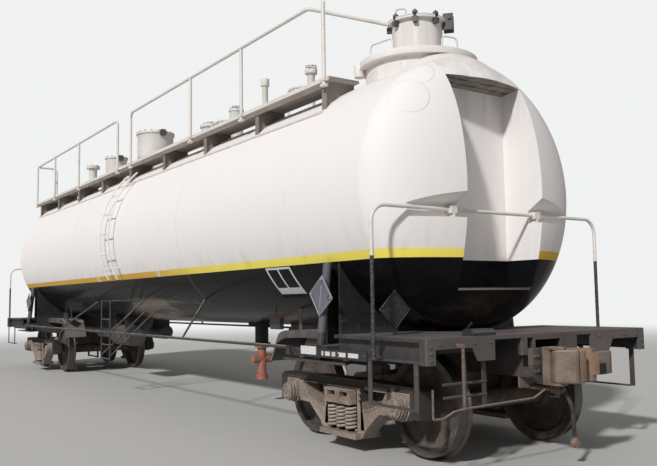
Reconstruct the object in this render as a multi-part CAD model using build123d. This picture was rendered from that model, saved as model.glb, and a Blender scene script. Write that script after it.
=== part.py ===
from build123d import *
import math
import os

# Railway tank car with an insulated tank, two four-wheel trucks and an end deck at each end.
# X runs along the car, Y across it and Z up, in millimetres.
# The origin is under the middle of the car, on the plane of the lowest points of the wheel flanges.
# The near end is at +X and carries the manway dome; the ladder and the walkway are on the -Y side.

# Wheels and axles
WHEEL_R = 457.0
FLANGE_H = 25.0
RIM_WIDTH = 140.0
RIM_DEPTH = 70.0
HUB_R = 130.0
HUB_WIDTH = 180.0
AXLE_R = 88.0
JOURNAL_R = 72.0
CUP_R = 110.0
CUP_LENGTH = 170.0
CAP_R = 92.0
CAP_T = 45.0
WHEEL_INNER_Y = 680.0
JOURNAL_Y = 1003.0
AXLE_Z = WHEEL_R + FLANGE_H

# Trucks
TRUCK_X = 5750.0
WHEELBASE = 1778.0
FRAME_Y = 1003.0
FRAME_T = 170.0
FRAME_TOP = 675.0
FRAME_END = 1130.0
CHORD_T = 80.0
PEDESTAL_BOTTOM = 400.0
COLUMN_INNER = 245.0
COLUMN_W = 80.0
SEAT_HALF = 300.0
SEAT_BOTTOM = 135.0
SEAT_TOP = 185.0
BOLSTER_HALF_X = 210.0
BOLSTER_END_Z = (445.0, 585.0)
BOLSTER_MID = (470.0, 700.0)
BOLSTER_END_Y = 1150.0
SHELF_HALF = 150.0
JAW_HALF = 125.0
JAW_ROOF = 618.0
BEAM_X = 330.0
BEAM_Z = 430.0
SHOE_GAP = 8.0
SPRING_R = 68.0
SPRING_PITCH = 145.0
SIDE_BEARING_Y = 635.0
CENTRE_PLATE_R = 190.0
CENTRE_PLATE_Z = 700.0
WEAR_T = 6.0
BEARING_GAP = 8.0
CENTRE_PIN_R = 38.0
CENTRE_PIN_Z = 530.0
CENTRE_RING_W = 22.0
CENTRE_RING_H = 28.0
SIDE_BEARING_HALF = (120.0, 60.0)
BOLSTER_POCKETS = (-100.0, 100.0)
BOLSTER_POCKET_HALF = 65.0
BOLSTER_POCKET_DEPTH = 180.0
BOLSTER_POCKET_DROP = (75.0, 25.0)
ADAPTER_RISE = 45.0
BRAKE_BEAM_R = 26.0
BRAKE_SHOE_Y = (725.0, 808.0)
BRAKE_SHOE_Z = (310.0, 600.0)
BRAKE_SHOE_X = (300.0, 400.0)
BRAKE_SHOE_T = (20.0, 40.0)
BRAKE_HEAD_Z = (390.0, 490.0)
BRAKE_HEAD_INSET = 14.0

# Gaps between pieces: a seat between fixed pieces, and a running gap beside what turns
SEAT = 0.3
RUN = 1.0
PIN_GAP = 3.0

# Tank
TANK_R = 1364.0
TANK_BOTTOM = 1117.0
TANK_Z = TANK_BOTTOM + TANK_R
TANK_TOP = TANK_Z + TANK_R
TANK_TANGENT_X = 6427.0
HEAD_DEPTH = 571.0
SEAM_X = 5150.0
SLOT_X = 6474.0
SLOT_HALF = 508.0
SLOT_FLOOR = 1546.0
SLOT_CEILING = TANK_TOP - 316.0
SLOT_CEILING_SLOPE = 0.129
NOTCH_X = 6765.0
NOTCH_FLOOR = 2170.0
NOTCH_BACK_Z = 2290.0
NOTCH_RISE = 0.62

# Underframe and end decks
SILL_HALF = 190.0
SILL_WALL = 22.0
SILL_BOTTOM = 740.0
SILL_INNER_X = 3300.0
SILL_SLOPE = 420.0
DECK_TOP = 1123.0
DECK_DEPTH = 200.0
DECK_HALF = TANK_R + 61.0
DECK_FRONT = 7383.0
DECK_BACK = 6118.0
TREAD_T = 32.0
SILL_TOP = DECK_TOP - TREAD_T - SEAT
TANK_GAP = 6.0
DECK_BEARERS = (6330.0, 6930.0)
DECK_BEARER_HALF = 35.0
DECK_BEARER_RISE = 40.0
END_PLATE_DROP = 10.0
END_PLATE_LEG = 90.0
END_PLATE_BEAM = 88.0
END_PLATE_SLOPE = (500.0, 565.0)
END_PLATE_INNER = {-1: 670.0, 1: 600.0}
SILL_RIBS = {-1: ((7330.0, 7383.0), (271.0, 337.0)), 1: ((7369.0, 7381.7), (191.0, 395.0))}
DECK_BOX = ((7180.0, 1123.3), (7330.0, 1123.3), (7330.0, 1150.0), (7300.0, 1180.0), (7210.0, 1180.0))
DECK_BOX_Y = (-860.0, -600.0)
DECK_BOX_LEVER = ((7200.0, -850.0, 1140.0), (7290.0, -840.0, 1235.0))
CHANNEL_T = 14.0
CHANNEL_FLANGE = 75.0
CORNER_POST = 95.0
END_PLATE_T = 22.0
BODY_BOLSTER_HALF = 190.0
BODY_BOLSTER_Z = (800.0, 1010.0)
BODY_BOLSTER_END = DECK_HALF - 40.0
BODY_BOLSTER_TIP = 90.0
BODY_BOLSTER_KNEE_Y = 900.0
BODY_BOLSTER_RIB = 60.0
SIDE_BEARING_PLATE = (110.0, 80.0)
JACK_PAD_HALF = (300.0, 540.0)
JACK_PAD_INNER = 1150.0
JACK_WEB_Y = DECK_HALF - 125.0
JACK_WEB_HALF = (330.0, 225.0)
JACK_WEB_TOP = 960.0
JACK_PAD_Z = 850.0
JACK_PAD_T = 20.0
SADDLE_X = 110.0
SADDLE_T = 26.0
SADDLE_END = 1180.0
STRUT_R = 43.0
STRUT_FOOT_Y = DECK_HALF - 100.0
STRUT_HEAD_Y = DECK_HALF - 190.0
STRUT_HEAD_Z = 1800.0

# Couplers
COUPLER_Z = 852.0
COUPLER_NOSE_X = 7770.0
SHANK_HALF = 70.0
COUPLER_PIVOT_X = 6700.0
COUPLER_HEAD_X = 7460.0
COUPLER_PIN_R = 40.0
STRIKER_T = 50.0
STRIKER_HALF = 270.0
STRIKER_GAP = 150.0
STRIKER_HEAD_ROOM = 28.0
STRIKER_Z = (690.0, 760.0, 1000.0)
STRIKER_FOOT_HALF = 170.0
KNUCKLE_H = 280.0

# Coupler outlines from above: the distance behind the knuckle's nose, and Y
HEAD_OUTLINE = (
    (290.0, -205.0),
    (215.0, -205.0),
    (205.0, -80.0),
    (190.0, 20.0),
    (140.0, 90.0),
    (60.0, 160.0),
    (70.0, 230.0),
    (140.0, 235.0),
    (200.0, 190.0),
)
GUARD_ARM_OUTLINE = (
    (160.0, 180.0),
    (60.0, 160.0),
    (40.0, 235.0),
    (45.0, 340.0),
    (75.0, 455.0),
    (100.0, 466.0),
    (118.0, 440.0),
    (120.0, 330.0),
)
LUG_OUTLINE = ((290.0, -205.0), (150.0, -215.0), (95.0, -150.0), (130.0, -80.0), (215.0, -60.0))
LUG_ROOT = ((290.0, -205.0), (215.0, -205.0), (215.0, -60.0), (290.0, -60.0))
KNUCKLE_OUTLINE = (
    (204.0, -195.0),
    (150.0, -212.0),
    (70.0, -190.0),
    (10.0, -120.0),
    (0.0, -40.0),
    (8.0, 25.0),
    (45.0, 35.0),
    (75.0, 10.0),
    (70.0, -60.0),
    (110.0, -105.0),
    (150.0, -95.0),
    (190.0, -80.0),
)
LUG_T = 20.0
GUARD_ARM_Z = (765.0, 957.0)

# End steps, levers and air brake
SILL_STEP_X = (6640.0, 7240.0)
SILL_STEP_Z = 545.0
SILL_STEP_Y = (DECK_HALF - 60.0, DECK_HALF - 14.0, DECK_HALF - 2.0)
SILL_STEP_BAR = (25.0, 12.0)
END_LADDER_X = 7300.0
END_LADDER_Y = (-955.0, -729.0)
END_LADDER_BAR_Y = (-1190.0, -705.0)
END_LADDER_Z = (640.0, 745.0)
END_LADDER_FOOT = 550.0
END_LADDER_STRIP = (6.0, 22.0)
END_LADDER_BAR_R = 12.0
LEVER_X = 7450.0
LEVER_LINE = (
    (-DECK_HALF - 13.0, 740.0),
    (-DECK_HALF - 13.0, 511.0),
    (-1329.0, 511.0),
    (-1221.0, 554.0),
    (-1102.0, 566.0),
    (-291.0, 585.0),
    (-125.0, 655.0),
)
LEVER_BEND = 14.0
LEVER_R = 9.0
LEVER_HANGER_Y = (-1110.0, -1100.0)
LEVER_HANGER_HALF = 13.0
LEVER_CLIP_Y = (-1120.0, -1090.0)
LEVER_CLIP_DROP = (46.0, 16.0)
PIPE_Y = -35.0
PIPE_Z = 640.0
PIPE_R = 21.0
PIPE_START_X = 7150.0
PIPE_HANGER_X = 7200.0
COCK_X = 7490.0
COCK_R = 37.0
COCK_REACH = (50.0, 45.0)
COCK_PLUG_R = 24.0
COCK_HANDLE = (90.0, 14.0, 12.0)
COCK_HANDLE_DROP = (70.0, 58.0)
NIPPLE_R = 25.0
NIPPLE_LENGTH = 26.0
PIPE_HANGER_HALF = 12.0
PIPE_HANGER_REACH = 30.0
HOSE_R = 19.0
HOSE_BEND_SHARE = 0.45
HOSE_ROUTE = (
    (7556.0, -27.0, 622.0),
    (7591.0, -12.0, 563.0),
    (7609.0, 0.0, 492.0),
    (7607.0, 11.0, 404.0),
    (7600.0, 33.0, 244.0),
)
COUPLING_REACH = 52.0
COUPLING_R = 36.0
COUPLING_T = 44.0
COUPLING_LIP = (14.0, 66.0, 40.0)
OUTLET_X = 2255.0
OUTLET_BOTTOM = 330.0
OUTLET_TOP = TANK_BOTTOM + 30.0
OUTLET_FLANGE_Z = OUTLET_TOP - 330.0
OUTLET_PIVOT = (150.0, 620.0, 60.0)

# Outlet: radius, bottom and top of each round part of its body and of its valve
OUTLET_BODY = (
    (190.0, OUTLET_TOP - 60.0, OUTLET_TOP),
    (95.0, OUTLET_TOP - 300.0, OUTLET_TOP - 60.0),
    (125.0, OUTLET_FLANGE_Z, OUTLET_TOP - 300.0),
)
OUTLET_VALVE = (
    (62.0, OUTLET_BOTTOM + 60.0, OUTLET_FLANGE_Z - SEAT),
    (84.0, OUTLET_BOTTOM, OUTLET_BOTTOM + 70.0),
    (100.0, OUTLET_FLANGE_Z - 40.0, OUTLET_FLANGE_Z - SEAT),
)
HAND_BRAKE_Y = 900.0
HAND_BRAKE_X = 90.0 - DECK_FRONT
HAND_BRAKE_POST_R = 38.0
HAND_BRAKE_CASE = (70.0, 50.0, 70.0, 150.0, 110.0)
HAND_WHEEL_R = 280.0
HAND_WHEEL_Z = 1900.0
HAND_WHEEL_X = HAND_BRAKE_X - 110.0
HAND_WHEEL_RIM_R = 15.0
HAND_WHEEL_HUB = (40.0, 20.0)
HAND_WHEEL_SPOKES = 3
HAND_WHEEL_SPOKE_R = 11.0
PLACARD_Z = 1480.0
PLACARD_HALF = 205.0
PLACARD_SHIFT = 35.0
PLACARD_TILT = 8.0
PLACARD_T = 6.0

# Brake vessels: x, y, z, radius, length
BRAKE_VESSELS = (
    (-2300.0, -330.0, 830.0, 190.0, 900.0),
    (-2300.0, 330.0, 870.0, 130.0, 560.0),
)

# Walkway, handrails and ladder
WALK_TOP = TANK_TOP - 48.0
WALK_Y = (-960.0, -560.0)
WALK_X = (-6600.0, 5420.0)
PLANK_T = 30.0
STRINGER_H = 105.0
STRINGER_T = 12.0
RAIL_R = 21.0
POST_R = 22.0
POST_FOOT_Z = WALK_TOP - 117.0
NEAR_POSTS = (-400.0, 2000.0, 3530.0, 5380.0)
FAR_POSTS = (-6560.0, -5080.0, -3330.0, -1050.0)
SIDE_RAIL_R = 17.0
SIDE_RAIL_Y = DECK_HALF + 25.0
SIDE_RAIL_Z = 980.0
SIDE_RAIL_END = 5330.0
SIDE_BRACES = ((-2766.0, -2224.0), (0.0, 0.0), (2766.0, 2224.0))
SIDE_BRACE_HEAD = (827.0, 1535.0)
SIDE_BAR_END = 6620.0
SIDE_BAR_Z = (905.0, 985.0)
SIDE_BAR_T = 12.0
SIDE_BAR_BLOCK = 70.0
LADDER_X = (-500.0, -80.0)
LADDER_OUT = 105.0
LADDER_BAR = 13.0
LADDER_CURVE_Z = 1760.0
UPPER_RUNGS = 6
STEP_Z = 540.0
STEP_TOP = 1490.0
WALK_BRACKETS = 9
WALK_BRACKET_X = (-6360.0, 5320.0)
RAIL_BEND = 110.0
RAIL_BREAK_X = 5090.0
END_RAIL_X = 6801.0
END_RAIL_Y = DECK_HALF + 76.0
END_RAIL_Z = 2250.0
END_RAIL_R = 17.0
END_RAIL_BEND = 150.0
END_RAIL_FOOT = 20.0
END_RAIL_LUGS = (20.0, 170.0)
END_RAIL_LUG = (30.0, 10.0, 8.0)
CLAMP_Y = (SLOT_HALF + 20.0, SLOT_HALF + 100.0)
CLAMP_WEB_Y = (SLOT_HALF + 50.0, SLOT_HALF + 70.0)
CLAMP_REACH = 40.0
CLAMP_HALF = 34.0
CLAMP_FOOT_T = 14.0

# Manway dome
DOME_X = 5749.0
DOME_R = 275.0
DOME_TOP = TANK_TOP + 588.0
RAIL_Z = DOME_TOP + 192.0
COVER_R = 322.0
COVER_T = 18.0
COVER_BOSS = 60.0
FLANGE_T = 18.0
COLLAR_R = 570.0
COLLAR_TOP = TANK_TOP + 75.0
COLLAR_T = 18.0
COLLAR_RING_R = 640.0
COLLAR_RING_TOP = COLLAR_TOP + 70.0
COLLAR_LUG_R = 58.0
COLLAR_LUG_Z = (TANK_TOP + 2.0, COLLAR_RING_TOP - 5.0)
COLLAR_LUG_ANGLE = 235.4
EYE_BOLTS = 8
EYE_BOLT_RING = 300.0
EYE_BOLT_R = 11.0
EYE_NUT_R = 30.0
EYE_NUT_T = 28.0
EYE_BOLT_TIP = 48.0
EYE_EAR = 56.0
EYE_EAR_W = 46.0
BOLT_SLOT = (70.0, 36.0)
PAD_OUT = 60.0

# Wheel guards over the inner wheels: outline in X and Z, from the hanging leg to the body bolster
GUARD_LINE = (
    (4143.0, 753.0),
    (4329.0, 1051.0),
    (4380.0, 1085.0),
    (4480.0, 1105.0),
    (4822.0, 1120.0),
    (TRUCK_X - SADDLE_X - SADDLE_T / 2 - SEAT, 1120.0),
)
GUARD_SKIRT_LINE = (
    (TRUCK_X - SADDLE_X - SADDLE_T / 2 - SEAT, 1035.0),
    (4822.0, 1035.0),
    (4480.0, 1020.0),
    (4390.0, 995.0),
    (4307.0, 960.0),
    (4178.0, 753.0),
)
GUARD_Y = (550.0, 960.0)
GUARD_T = 6.0
GUARD_STRAP_X = (4470.0, 4530.0)
GUARD_STRAP_Y = (755.0, 765.0)

# Other top fittings: node, x, radius, height of the top, radius and thickness of the cap
TOP_FITTINGS = (
    ("top_valves", 3625.0, 50.0, TANK_TOP + 635.0, 82.0, 60.0),
    ("top_valves", 2400.0, 42.0, TANK_TOP + 815.0, 62.0, 110.0),
    ("top_valves", 1500.0, 105.0, TANK_TOP + 555.0, 118.0, 40.0),
    ("top_valves", 600.0, 150.0, TANK_TOP + 485.0, 178.0, 50.0),
    ("large_dome", -1800.0, 335.0, TANK_TOP + 795.0, 357.0, 45.0),
    ("small_dome", -4000.0, 220.0, TANK_TOP + 685.0, 243.0, 40.0),
    ("top_valves", -5600.0, 90.0, TANK_TOP + 755.0, 150.0, 70.0),
)

SIDES = (-1, 1)
ENDS = (("near", 0.0), ("far", 180.0))

nodes = {}


def keep(name, *solids):
    """Collects the solids of one node."""
    found = nodes.setdefault(name, [])
    for item in solids:
        found.extend(item.solids())


def block(x, y, z):
    """A box between pairs of coordinates."""
    size = Box(x[1] - x[0], y[1] - y[0], z[1] - z[0])
    return Pos((x[0] + x[1]) / 2, (y[0] + y[1]) / 2, (z[0] + z[1]) / 2) * size


def rod(start, end, radius):
    """A round bar from one point to another."""
    start = Vector(*start)
    run = Vector(*end) - start
    base = Align.CENTER, Align.CENTER, Align.MIN
    return Plane(origin=start, z_dir=run) * Cylinder(radius, run.length, align=base)


def plate_xz(points, y):
    """A plate with an outline in X and Z, between two values of Y."""
    face = Face(Wire.make_polygon([(px, y[0], pz) for px, pz in points], close=True))
    return extrude(face, amount=y[1] - y[0], dir=(0, 1, 0))


def plate_yz(points, x):
    """A plate with an outline in Y and Z, between two values of X."""
    face = Face(Wire.make_polygon([(x[0], py, pz) for py, pz in points], close=True))
    return extrude(face, amount=x[1] - x[0], dir=(1, 0, 0))


def plate_xy(points, z):
    """A plate with an outline in X and Y, between two heights."""
    face = Face(Wire.make_polygon([(px, py, z[0]) for px, py in points], close=True))
    return extrude(face, amount=z[1] - z[0], dir=(0, 0, 1))


def bent_bar(points, bend, radius):
    """A round bar along straight runs joined by arcs."""
    path = FilletPolyline(*points, radius=bend)
    section = Plane(origin=path @ 0, z_dir=path % 0) * Circle(radius)
    return sweep(section, path=path)


def tank_cylinder(grow=0.0, length=2 * TANK_TANGENT_X):
    """The tank's round body, grown by a clearance."""
    return Pos(0, 0, TANK_Z) * Rot(0, 90, 0) * Cylinder(TANK_R + grow, length)


def tank_side_y(z, out=0.0):
    """How far from the centre line the tank's side is at a height."""
    return math.sqrt((TANK_R + out) ** 2 - (z - TANK_Z) ** 2)


def turned(angle, item):
    """A copy turned about the car's vertical middle line."""
    return Rot(0, 0, angle) * item


def near_envelope(grow):
    """The tank's outer form at the near end without its cuts, grown by a clearance."""
    start = TANK_TANGENT_X - 1500
    end = TANK_TANGENT_X + HEAD_DEPTH + grow
    outline = Polyline((TANK_TANGENT_X, TANK_R + grow), (start, TANK_R + grow), (start, 0), (end, 0))
    crown = EllipticalCenterArc((TANK_TANGENT_X, 0), HEAD_DEPTH + grow, TANK_R + grow, arc_size=90)
    return Pos(0, 0, TANK_Z) * revolve(make_face(outline.edges() + crown.edges()), Axis.X, 360)


# Tank barrel and heads
def make_head():
    """The near head: an elliptical end with a tall slot and two notches for the end handrail."""
    solid = near_envelope(0) & block((SEAM_X, 2 * SEAM_X), (-2 * TANK_R, 2 * TANK_R), (0, 2 * TANK_Z))
    front = TANK_TANGENT_X + HEAD_DEPTH + 10
    lip = SLOT_CEILING + SLOT_CEILING_SLOPE * (front - SLOT_X)
    slot = [(SLOT_X, SLOT_FLOOR), (front, SLOT_FLOOR), (front, lip), (SLOT_X, SLOT_CEILING)]
    solid -= plate_xz(slot, (-SLOT_HALF, SLOT_HALF))
    rise = NOTCH_BACK_Z + NOTCH_RISE * (front - NOTCH_X)
    notch = [(NOTCH_X, NOTCH_FLOOR), (front, NOTCH_FLOOR), (front, rise), (NOTCH_X, NOTCH_BACK_Z)]
    return solid - plate_xz(notch, (-TANK_R, TANK_R))


head = make_head()
keep("head_near", head)
keep("head_far", turned(180, head))
keep("tank_barrel", tank_cylinder(length=2 * (SEAM_X - SEAT)))


# Manway dome
def around(number, count, item):
    """A copy turned to its place on a circle of like pieces about the dome's axis."""
    return Pos(DOME_X, 0, 0) * Rot(0, 0, 360 / count * number) * item


def make_collar():
    """The jacket's raised collar around the manway, with its top ring and the davit's socket."""
    foot = TANK_Z + TANK_R / 2
    wall = block_ring(COLLAR_R, COLLAR_R - COLLAR_T, foot, COLLAR_TOP)
    ring = block_ring(COLLAR_RING_R, DOME_R + SEAT, COLLAR_TOP, COLLAR_RING_TOP)
    angle = math.radians(COLLAR_LUG_ANGLE)
    lug_x = COLLAR_RING_R * math.cos(angle)
    lug_y = COLLAR_RING_R * math.sin(angle)
    lug = upright(lug_x, lug_y, COLLAR_LUG_R, *COLLAR_LUG_Z)
    return Pos(DOME_X, 0, 0) * (wall + ring + lug) - tank_cylinder(SEAT)


def block_ring(outer, inner, low, high):
    """An upright ring about the vertical axis."""
    middle = (low + high) / 2
    return Pos(0, 0, middle) * (Cylinder(outer, high - low) - Cylinder(inner, high - low + 2))


def upright(x, y, radius, low, high):
    """An upright round piece."""
    return rod((x, y, low), (x, y, high), radius)


bolt_slot = Pos(EYE_BOLT_RING, 0, DOME_TOP) * Box(*BOLT_SLOT, 4 * COVER_T)
cover_top = DOME_TOP + COVER_T
ear_top = DOME_TOP - FLANGE_T - SEAT
neck = upright(DOME_X, 0, DOME_R, TANK_Z + TANK_R / 2, DOME_TOP)
neck += upright(DOME_X, 0, COVER_R, DOME_TOP - FLANGE_T, DOME_TOP)
cover = upright(DOME_X, 0, COVER_R, DOME_TOP + SEAT, cover_top)
cover += upright(DOME_X, 0, DOME_R - COVER_BOSS, cover_top, cover_top + COVER_T)
for number in range(EYE_BOLTS):
    neck -= around(number, EYE_BOLTS, bolt_slot)
    cover -= around(number, EYE_BOLTS, bolt_slot)
    shank = upright(EYE_BOLT_RING, 0, EYE_BOLT_R, ear_top - EYE_EAR / 2, cover_top + EYE_BOLT_TIP)
    nut = upright(EYE_BOLT_RING, 0, EYE_NUT_R, cover_top + SEAT, cover_top + EYE_NUT_T)
    ear = Pos(DOME_R + SEAT + EYE_EAR / 2, 0, ear_top - EYE_EAR / 2) * Box(EYE_EAR, EYE_EAR_W, EYE_EAR)
    keep("dome_eye_bolts", around(number, EYE_BOLTS, shank + nut + ear))
keep("dome_collar", make_collar())
keep("dome_neck", neck - tank_cylinder(SEAT))
keep("dome_cover", cover)


# Other top fittings
def on_tank(item):
    """A fitting cut to stand on the tank's round top."""
    return item - tank_cylinder(SEAT)


for node, x, radius, top, cap_r, cap_t in TOP_FITTINGS:
    stem = upright(x, 0, radius, TANK_Z + TANK_R / 2, top - cap_t)
    pad = upright(x, 0, radius + PAD_OUT, TANK_Z + TANK_R / 2, TANK_Z + TANK_R + PAD_OUT / 2)
    cap = upright(x, 0, cap_r, top - cap_t, top)
    keep(node, on_tank(stem + pad + cap))


# Walkway with its brackets
plank = block(WALK_X, WALK_Y, (WALK_TOP - PLANK_T, WALK_TOP))
edge = (WALK_Y[0] - STRINGER_T, WALK_Y[0])
plank += block(WALK_X, edge, (WALK_TOP - STRINGER_H, WALK_TOP))
keep("walkway", plank)
for number in range(WALK_BRACKETS):
    x = WALK_BRACKET_X[0] + (WALK_BRACKET_X[1] - WALK_BRACKET_X[0]) * number / (WALK_BRACKETS - 1)
    top = WALK_TOP - PLANK_T - SEAT
    web = block((x - 6, x + 6), (WALK_Y[0] + 4, WALK_Y[1]), (TANK_Z, top))
    foot = block((x - 40, x + 40), (WALK_Y[0] + 4, WALK_Y[0] + 14), (TANK_Z, top))
    bracket = (web + foot) - tank_cylinder(SEAT)
    bracket &= block((x - 50, x + 50), (WALK_Y[0], WALK_Y[1]), (TANK_Z + 900, top))
    keep("walkway_brackets", bracket)


# Top handrails
rail_y = WALK_Y[0] - STRINGER_T - SEAT - POST_R
near_end = (DOME_X - 165, -269, DOME_TOP)
near_rail = bent_bar(
    [
        (NEAR_POSTS[0], rail_y, POST_FOOT_Z),
        (NEAR_POSTS[0], rail_y, RAIL_Z),
        (RAIL_BREAK_X, rail_y, RAIL_Z),
        near_end,
    ],
    RAIL_BEND,
    RAIL_R,
)
far_rail = bent_bar(
    [
        (FAR_POSTS[-1], rail_y, POST_FOOT_Z),
        (FAR_POSTS[-1], rail_y, RAIL_Z),
        (FAR_POSTS[0], rail_y, RAIL_Z),
        (FAR_POSTS[0], WALK_Y[1], RAIL_Z),
        (FAR_POSTS[0], WALK_Y[1], WALK_TOP + SEAT),
    ],
    RAIL_BEND,
    RAIL_R,
)
keep("handrail_near", near_rail - upright(DOME_X, 0, COVER_R + SEAT, TANK_TOP, RAIL_Z))
keep("handrail_far", far_rail)
for node, places, rail in (
    ("handrail_near", NEAR_POSTS[1:], near_rail),
    ("handrail_far", FAR_POSTS[:-1], far_rail),
):
    socket = RAIL_R + SEAT
    for x in places:
        post = upright(x, rail_y, POST_R, POST_FOOT_Z, RAIL_Z)
        level = rod((x - 100, rail_y, RAIL_Z), (x + 100, rail_y, RAIL_Z), socket)
        keep(node, post - level)


# Side ladder
def make_upper_ladder():
    """Two stiles that follow the tank's side, with rungs between them."""
    radius = TANK_R + LADDER_OUT
    parts = []
    top = math.degrees(math.asin(-rail_y / radius))
    bottom = math.degrees(math.acos((LADDER_CURVE_Z - TANK_Z) / radius))
    for x in LADDER_X:
        path = Pos(x, 0, TANK_Z) * side_arc(radius, top, bottom)
        section = Plane(origin=path @ 0, z_dir=path % 0) * Circle(LADDER_BAR)
        parts.append(sweep(section, path=path))
    ladder = parts[0] + parts[1]
    for number in range(UPPER_RUNGS):
        angle = math.radians(top + (bottom - top) * (number + 0.5) / UPPER_RUNGS)
        y = -radius * math.sin(angle)
        z = TANK_Z + radius * math.cos(angle)
        ladder += rod((LADDER_X[0], y, z), (LADDER_X[1], y, z), LADDER_BAR - 2)
    for x in LADDER_X:
        for share in (0.12, 0.88):
            angle = math.radians(top + (bottom - top) * share)
            way = Vector(0, -math.sin(angle), math.cos(angle))
            base = Vector(x, 0, TANK_Z) + way * (TANK_R + SEAT)
            ladder += rod(tuple(base), tuple(base + way * (LADDER_OUT - SEAT)), LADDER_BAR - 3)
    return ladder


def side_arc(radius, start, end):
    """An arc on the -Y side about the tank's axis, in degrees from the top."""
    points = []
    for angle in (start, (start + end) / 2, end):
        turn = math.radians(angle)
        points.append((0, -radius * math.sin(turn), radius * math.cos(turn)))
    return ThreePointArc(*points)


def make_lower_ladder():
    """The hanging step under the ladder, braced to the tank."""
    y = -SIDE_RAIL_Y + SIDE_RAIL_R + LADDER_BAR + SEAT
    ladder = None
    for x in LADDER_X:
        stile = rod((x, y, STEP_Z), (x, y, STEP_TOP), LADDER_BAR)
        ladder = stile if ladder is None else ladder + stile
        reach = -tank_side_y(STEP_TOP, SEAT) + 2
        arm = rod((x, reach + 60, STEP_TOP - 20), (x, y, STEP_TOP - 20), LADDER_BAR - 2)
        brace = rod((x, -640, 1330), (x, y, STEP_Z + 60), LADDER_BAR - 2)
        ladder += (arm + brace) - tank_cylinder(SEAT)
    for z in (STEP_Z + 20, STEP_Z + 240, STEP_Z + 640):
        ladder += rod((LADDER_X[0], y, z), (LADDER_X[1], y, z), LADDER_BAR - 2)
    return ladder


keep("side_ladder", make_upper_ladder(), make_lower_ladder())


# Side handrails along the sill line
for side in SIDES:
    y = side * SIDE_RAIL_Y
    start = -SIDE_RAIL_END + SEAT
    rail = rod((start, y, SIDE_RAIL_Z), (-start, y, SIDE_RAIL_Z), SIDE_RAIL_R)
    for x, head_x in SIDE_BRACES:
        head = (head_x, side * SIDE_BRACE_HEAD[0], SIDE_BRACE_HEAD[1])
        brace = rod((x, y, SIDE_RAIL_Z), head, SIDE_RAIL_R - 3)
        brace -= rod((x - 60, y, SIDE_RAIL_Z), (x + 60, y, SIDE_RAIL_Z), SIDE_RAIL_R + SEAT)
        keep("side_rails", brace.solids().sort_by(Axis.Z)[-1] - tank_cylinder(SEAT))
    keep("side_rails", rail)
    for end in SIDES:
        inner = side * (DECK_HALF + SEAT)
        outer = inner + side * SIDE_BAR_T
        bar_x = sorted((end * SIDE_RAIL_END, end * SIDE_BAR_END))
        bar = block(bar_x, sorted((inner, outer)), SIDE_BAR_Z)
        block_x = sorted((end * SIDE_RAIL_END, end * (SIDE_RAIL_END + SIDE_BAR_BLOCK)))
        block_y = sorted((inner, y + side * SIDE_RAIL_R))
        keep("side_bars", bar + block(block_x, block_y, (SIDE_BAR_Z[0], SIDE_RAIL_Z + SIDE_RAIL_R)))


# Stub sills
def make_sill():
    """The near stub sill, open below, with its tank pad, centre plate, coupler pin and striker."""
    inner = SILL_HALF - SILL_WALL
    outline = [
        (SILL_INNER_X, SILL_TOP),
        (SILL_INNER_X, SILL_TOP - 110),
        (SILL_INNER_X + SILL_SLOPE, SILL_BOTTOM),
        (DECK_FRONT, SILL_BOTTOM),
        (DECK_FRONT, SILL_TOP),
    ]
    sill = plate_xz(outline, (-SILL_HALF, SILL_HALF))
    sill -= block((SILL_INNER_X - 1, DECK_FRONT + 1), (-inner, inner), (0, SILL_TOP - SILL_WALL))
    for middle, half in ((TRUCK_X, 260), (COUPLER_PIVOT_X, 90)):
        sill += block((middle - half, middle + half), (-inner, inner), (SILL_BOTTOM, SILL_BOTTOM + SILL_WALL))
    sill += upright(COUPLER_PIVOT_X, 0, COUPLER_PIN_R, SILL_BOTTOM, SILL_TOP)
    plate = upright(TRUCK_X, 0, CENTRE_PLATE_R, CENTRE_PLATE_Z + SEAT, SILL_BOTTOM)
    pin = upright(TRUCK_X, 0, CENTRE_PIN_R, CENTRE_PIN_Z, SILL_BOTTOM)
    pad_z = (SILL_TOP - 1, TANK_Z - TANK_R + 60)
    pad = block((SILL_INNER_X + 60, DECK_BACK - SEAT), (-SILL_HALF, SILL_HALF), pad_z)
    return sill + plate + pin + (pad - tank_cylinder(SEAT)) + make_striker()


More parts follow.
